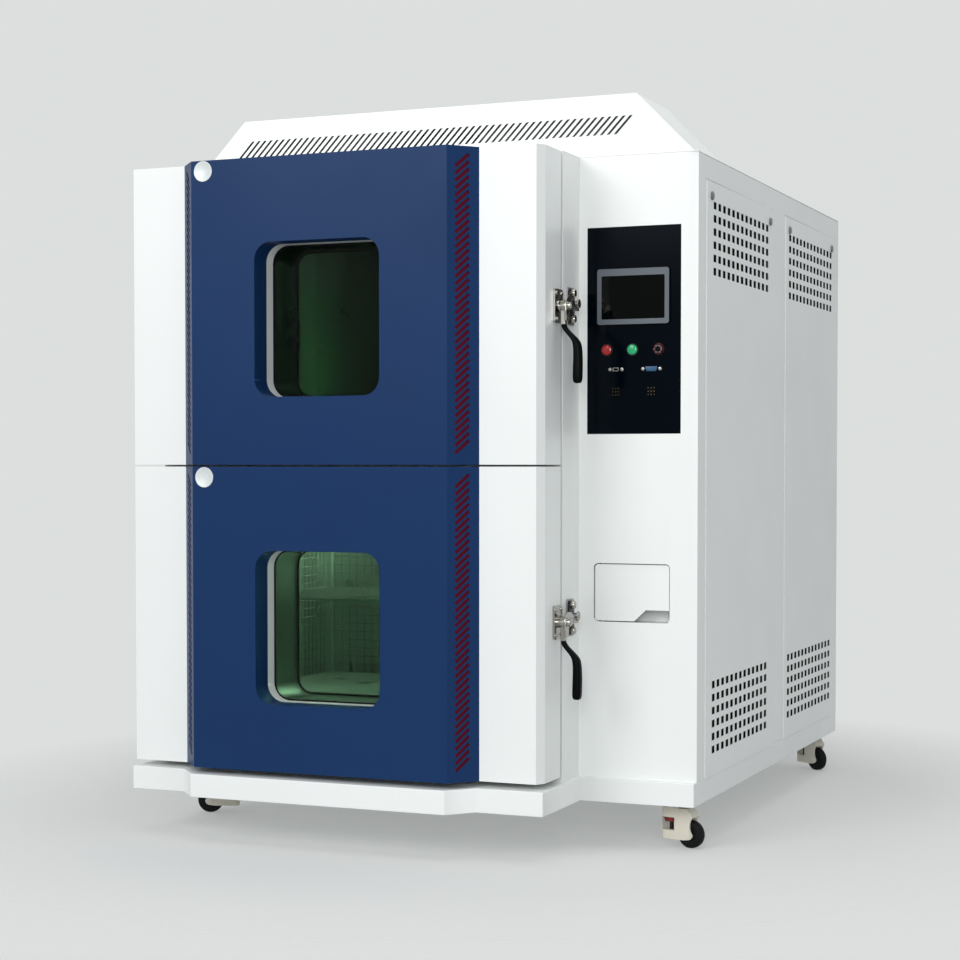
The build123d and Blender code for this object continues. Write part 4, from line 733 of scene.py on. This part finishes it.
x_stop, z_button = (low.x + high.x) / 2, (low.z + high.z) / 2
low, high = span("start_button")
x_start = (low.x + high.x) / 2
x_buzzer = 2 * x_start - x_stop
z_bezel = z_panel + BEZEL_RISE
z_screen = z_bezel - SCREEN_DROP
y_bezel = y_face - BEZEL_FRONT
ring(
    "screen_bezel",
    rounded(x_panel, z_bezel, *BEZEL_SIZE, BEZEL_CORNER),
    rounded(x_panel, z_screen, *SCREEN_HOLE, SCREEN_CORNER),
    y_bezel - BEZEL_LIP, y_bezel - CLEAR, bezel_plastic, "cabinet",
)
prism(
    "screen_glass", rounded(x_panel, z_screen, *SCREEN_SIZE, SCREEN_CORNER), "front",
    y_bezel - SCREEN_RISE, y_bezel - 2 * CLEAR, screen_black, "cabinet",
)
for name, x, material, slot in (
    ("stop_button", x_stop, red_lens, "red_plastic"),
    ("start_button", x_start, green_lens, "green_plastic"),
):
    cap_place = (x, y_face - CAP_RISE, z_button)
    thing = turned(f"{name}_cap", BUTTON_CAP, [cap_place], FRONT, material, name)
    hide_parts(name)
# The collars' near-black is a painted dark reflection
turned(
    "button_collars", BUTTON_COLLAR, [(x, y_face, z_button) for x in (x_stop, x_start)],
    FRONT, dark_metal_shade, "cabinet", hollow=True,
)
turned(
    "buzzer_dome", BUZZER_DOME, [(x_buzzer, y_face, z_button)],
    FRONT, buzzer_red, "cabinet",
)
mouths = []
for i in range(MOUTH_COUNT):
    angle = i * 2 * pi / MOUTH_COUNT
    x, z = x_buzzer + MOUTH_CIRCLE * cos(angle), z_button + MOUTH_CIRCLE * sin(angle)
    mouths.append((x, y_face - MOUTH_RISE, z))
turned(
    "buzzer_mouths", BUZZER_MOUTH, mouths, FRONT, bezel_plastic, "cabinet", steps=12
)
x_usb, x_serial = x_panel - PORT_ASIDE, x_panel + PORT_ASIDE
z_port = z_panel - PORT_DROP
ring(
    "usb_shell",
    rounded(x_usb, z_port, *USB_SIZE, USB_CORNER),
    rounded(x_usb, z_port, *USB_HOLE, USB_HOLE_CORNER),
    y_face - USB_RISE, y_face - CLEAR, zinc_plate, "cabinet",
)
prism(
    "serial_port", [(x_serial + a, z_port + b) for a, b in D_SHELL], "front",
    y_face - SERIAL_RISE, y_face - CLEAR, port_blue, "cabinet", edge=0.8,
)
turned(
    "port_screws", BOLT,
    [(x_usb + a, y_face, z_port) for a in both(USB_SCREW_ASIDE)]
    + [(x_serial + a, y_face, z_port) for a in both(SERIAL_SCREW_ASIDE)],
    FRONT, zinc_plate, "cabinet", steps=16,
)
z_dots = z_panel - DOTS_DROP
turned(
    "protector_dots", PROTECTOR_DOT,
    [
        (x_knob + DOT_PITCH_X * i, y_face - DOTS_RISE, z_dots + DOT_PITCH_Z * k)
        for x_knob in (x_usb, x_serial) for i in (-1, 0, 1) for k in (-1, 0, 1)
    ],
    FRONT, brass_dots, "cabinet", steps=10,
)

# Side panels: filter mats behind the vent grids, and lock heads with softened edges
FILTER_SIZE, FILTER_CORNER = (604, 204), 6
FILTER_DROP, FILTER_RISE = 154, 160.5
FILTER_BACK, FILTER_FRONT = 9.2, 5.2
for name in ("right_front_panel", "right_rear_panel"):
    low, high = span(name)
    y_grid = (low.y + high.y) / 2
    for level, z_grid in (("upper", high.z - FILTER_DROP), ("lower", low.z + FILTER_RISE)):
        prism(
            f"{name}_{level}_filter",
            rounded(y_grid, z_grid, *FILTER_SIZE, FILTER_CORNER, steps=2), "side",
            high.x - FILTER_BACK, high.x - FILTER_FRONT, filter_foam, "cabinet",
        )
for number in (1, 2, 3, 4):
    soften(f"panel_lock_{number}", fold=0.6, small=0.4, least=0.002, area=1e-6)

# Casters: moulded wheels, knurled red thumbwheels, plate bolts and swivel races
HALF_TREAD = 14
KNURL_POINTS, KNURL_OUT, KNURL_IN = 96, 18.6, 18.1
THUMBWHEEL_FOOT, THUMBWHEEL_TOP = 69.2, 79.8
PLATE_UNDERSIDE, PLATE_BOLT_REACH = 119, 36
for corner in CORNERS:
    roll = joints[f"caster_roll_{corner}"]
    axis = Vector(roll["axis"])
    origin = Vector(roll["pos_m"]) / MM - axis * HALF_TREAD
    wheel = turned(
        f"wheel_{corner}_tread", TREAD, [origin], axis, black_rubber,
        f"wheel_{corner}", steps=72, hollow=True,
    )
    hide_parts(f"caster_wheel_{corner}")
    low, high = span(f"caster_foot_{corner}")
    fx, fy = (low.x + high.x) / 2, (low.y + high.y) / 2
    knurl = []
    for i in range(KNURL_POINTS):
        radius = KNURL_OUT if i % 4 < 2 else KNURL_IN
        angle = 2 * pi * i / KNURL_POINTS
        knurl.append((fx + radius * cos(angle), fy + radius * sin(angle)))
    prism(
        f"thumbwheel_{corner}", knurl, "top", THUMBWHEEL_FOOT, THUMBWHEEL_TOP,
        red_plastic, f"foot_{corner}",
    )
    swivel = pivot(f"caster_swivel_{corner}")
    turned(
        f"caster_{corner}_bolts", BOLT,
        [
            (swivel.x + a, swivel.y + b, PLATE_UNDERSIDE)
            for a in both(PLATE_BOLT_REACH) for b in both(PLATE_BOLT_REACH)
        ],
        DOWN, zinc_plate, "cabinet", steps=6,
    )
    turned(
        f"caster_{corner}_race", SWIVEL_RACE, [(swivel.x, swivel.y, PLATE_UNDERSIDE)],
        DOWN, zinc_plate, f"caster_{corner}", hollow=True,
    )

# Basket: welded wire mesh on three sides, level wires outside the upright ones
WIRE_PITCH, WIRE_RADIUS = 26, 1.1
LEVEL_INSET, UPRIGHT_INSET = 4, 6.2
MESH_FOOT, MESH_TOP = 60, 68
LEVEL_WIRES, SIDE_UPRIGHTS, BACK_UPRIGHTS = 23, 21, 30
low, high = span("basket")
z0, z1 = low.z + MESH_FOOT, high.z - MESH_TOP
wires = []
for i in range(1, LEVEL_WIRES + 1):
    z = z0 + i * WIRE_PITCH
    y_back = high.y - LEVEL_INSET
    x_left, x_right = low.x + LEVEL_INSET, high.x - LEVEL_INSET
    for x in (x_left, x_right):
        wires.append(((x, low.y + LEVEL_INSET, z), (x, y_back, z)))
    wires.append(((x_left, y_back, z), (x_right, y_back, z)))
for i in range(1, SIDE_UPRIGHTS + 1):
    y = low.y + i * WIRE_PITCH
    for x in (low.x + UPRIGHT_INSET, high.x - UPRIGHT_INSET):
        wires.append(((x, y, z0), (x, y, z1)))
for i in range(1, BACK_UPRIGHTS + 1):
    x = low.x + i * WIRE_PITCH
    y = high.y - UPRIGHT_INSET
    wires.append(((x, y, z0), (x, y, z1)))
rods("basket_mesh", wires, WIRE_RADIUS, bright_plate, "basket", sides=5)

# Floor pool that fades into the pale backdrop, and a world that shows the same tone to the eye
BACKDROP = tone("#dcdfdd")
FLOOR_TONE = tone("#dcdddc")
SKY_TONE, SKY_STRENGTH = tone("#f4f7fb"), 0.45
FLOOR_REACH = 14
# The pool's edge lies at 1 / scale metres; the floor's cover grows inwards from there
POOL_SCALE = (0.47, 0.40, 1)
POOL_EDGE, POOL_FULL, POOL_COVER = 0.02, 0.42, 0.64


def make_stage():
    bm = bmesh.new()
    bmesh.ops.create_grid(bm, x_segments=2, y_segments=2, size=FLOOR_REACH)
    mesh = finish_mesh("floor", bm)
    floor = bpy.data.objects.new("floor", mesh)
    scene.collection.objects.link(floor)
    material = bpy.data.materials.new("pale_floor")
    material.use_nodes = True
    tree = material.node_tree
    tree.nodes.clear()
    place = add(tree, "ShaderNodeTexCoord")
    spread = add(
        tree, "ShaderNodeMapping", {"Scale": POOL_SCALE}, {"Vector": (place, "Object")}
    )
    ball = add(
        tree,
        "ShaderNodeTexGradient",
        {"gradient_type": "SPHERICAL"},
        {"Vector": (spread, "Vector")},
    )
    fade = ramp(tree, ball, "Fac", POOL_EDGE, POOL_FULL, grey(0), grey(POOL_COVER))
    matt = add(tree, "ShaderNodeBsdfDiffuse", {"Color": FLOOR_TONE})
    clear = add(tree, "ShaderNodeBsdfTransparent")
    mix = add(
        tree,
        "ShaderNodeMixShader",
        links={0: (fade, "Color"), 1: (clear, "BSDF"), 2: (matt, "BSDF")},
    )
    add(tree, "ShaderNodeOutputMaterial", links={"Surface": (mix, "Shader")})
    mesh.materials.append(material)

    world = bpy.data.worlds.new("studio")
    scene.world = world
    world.use_nodes = True
    tree = world.node_tree
    tree.nodes.clear()
    path = add(tree, "ShaderNodeLightPath")
    shown = (path, "Is Camera Ray")
    for kind in ("Is Glossy Ray", "Is Transmission Ray"):
        either = {0: shown, 1: (path, kind)}
        shown = (add(tree, "ShaderNodeMath", {"operation": "MAXIMUM"}, either), "Value")
    light = add(tree, "ShaderNodeBackground", {"Color": SKY_TONE, "Strength": SKY_STRENGTH})
    view = add(tree, "ShaderNodeBackground", {"Color": BACKDROP, "Strength": 1.0})
    both_skies = add(
        tree,
        "ShaderNodeMixShader",
        links={0: shown, 1: (light, "Background"), 2: (view, "Background")},
    )
    add(tree, "ShaderNodeOutputWorld", links={"Surface": (both_skies, "Shader")})


def lamp(name, place, target, size, power):
    """An oblong lamp of a size in metres and a power in watts, aimed at the target."""
    data = bpy.data.lights.new(name, "AREA")
    data.shape = "RECTANGLE"
    data.size, data.size_y = size
    data.energy = power
    thing = bpy.data.objects.new(name, data)
    thing.location = place
    aim = Vector(target) - Vector(place)
    thing.rotation_euler = aim.to_track_quat("-Z", "Y").to_euler()
    scene.collection.objects.link(thing)


make_stage()
lamp("key", (-2.2, -6.8, 4.0), (0, 0, 1.0), (3.5, 3.0), 185)
lamp("top", (0.5, -0.5, 5.2), (0, 0, 0), (4.0, 4.0), 90)
lamp("front_fill", (2.9, -6.7, 2.2), (0.3, 0, 1.0), (2.5, 2.5), 145)
# Lamps in the two zones, as such chambers have behind the door's top edge
lamp("cold_zone_lamp", (-0.16, -0.60, 0.92), (-0.16, -0.15, 0.50), (0.5, 0.05), 26)
lamp("hot_zone_lamp", (-0.16, -0.60, 1.72), (-0.16, -0.15, 1.30), (0.5, 0.05), 0.2)

scene.view_settings.view_transform = "Standard"
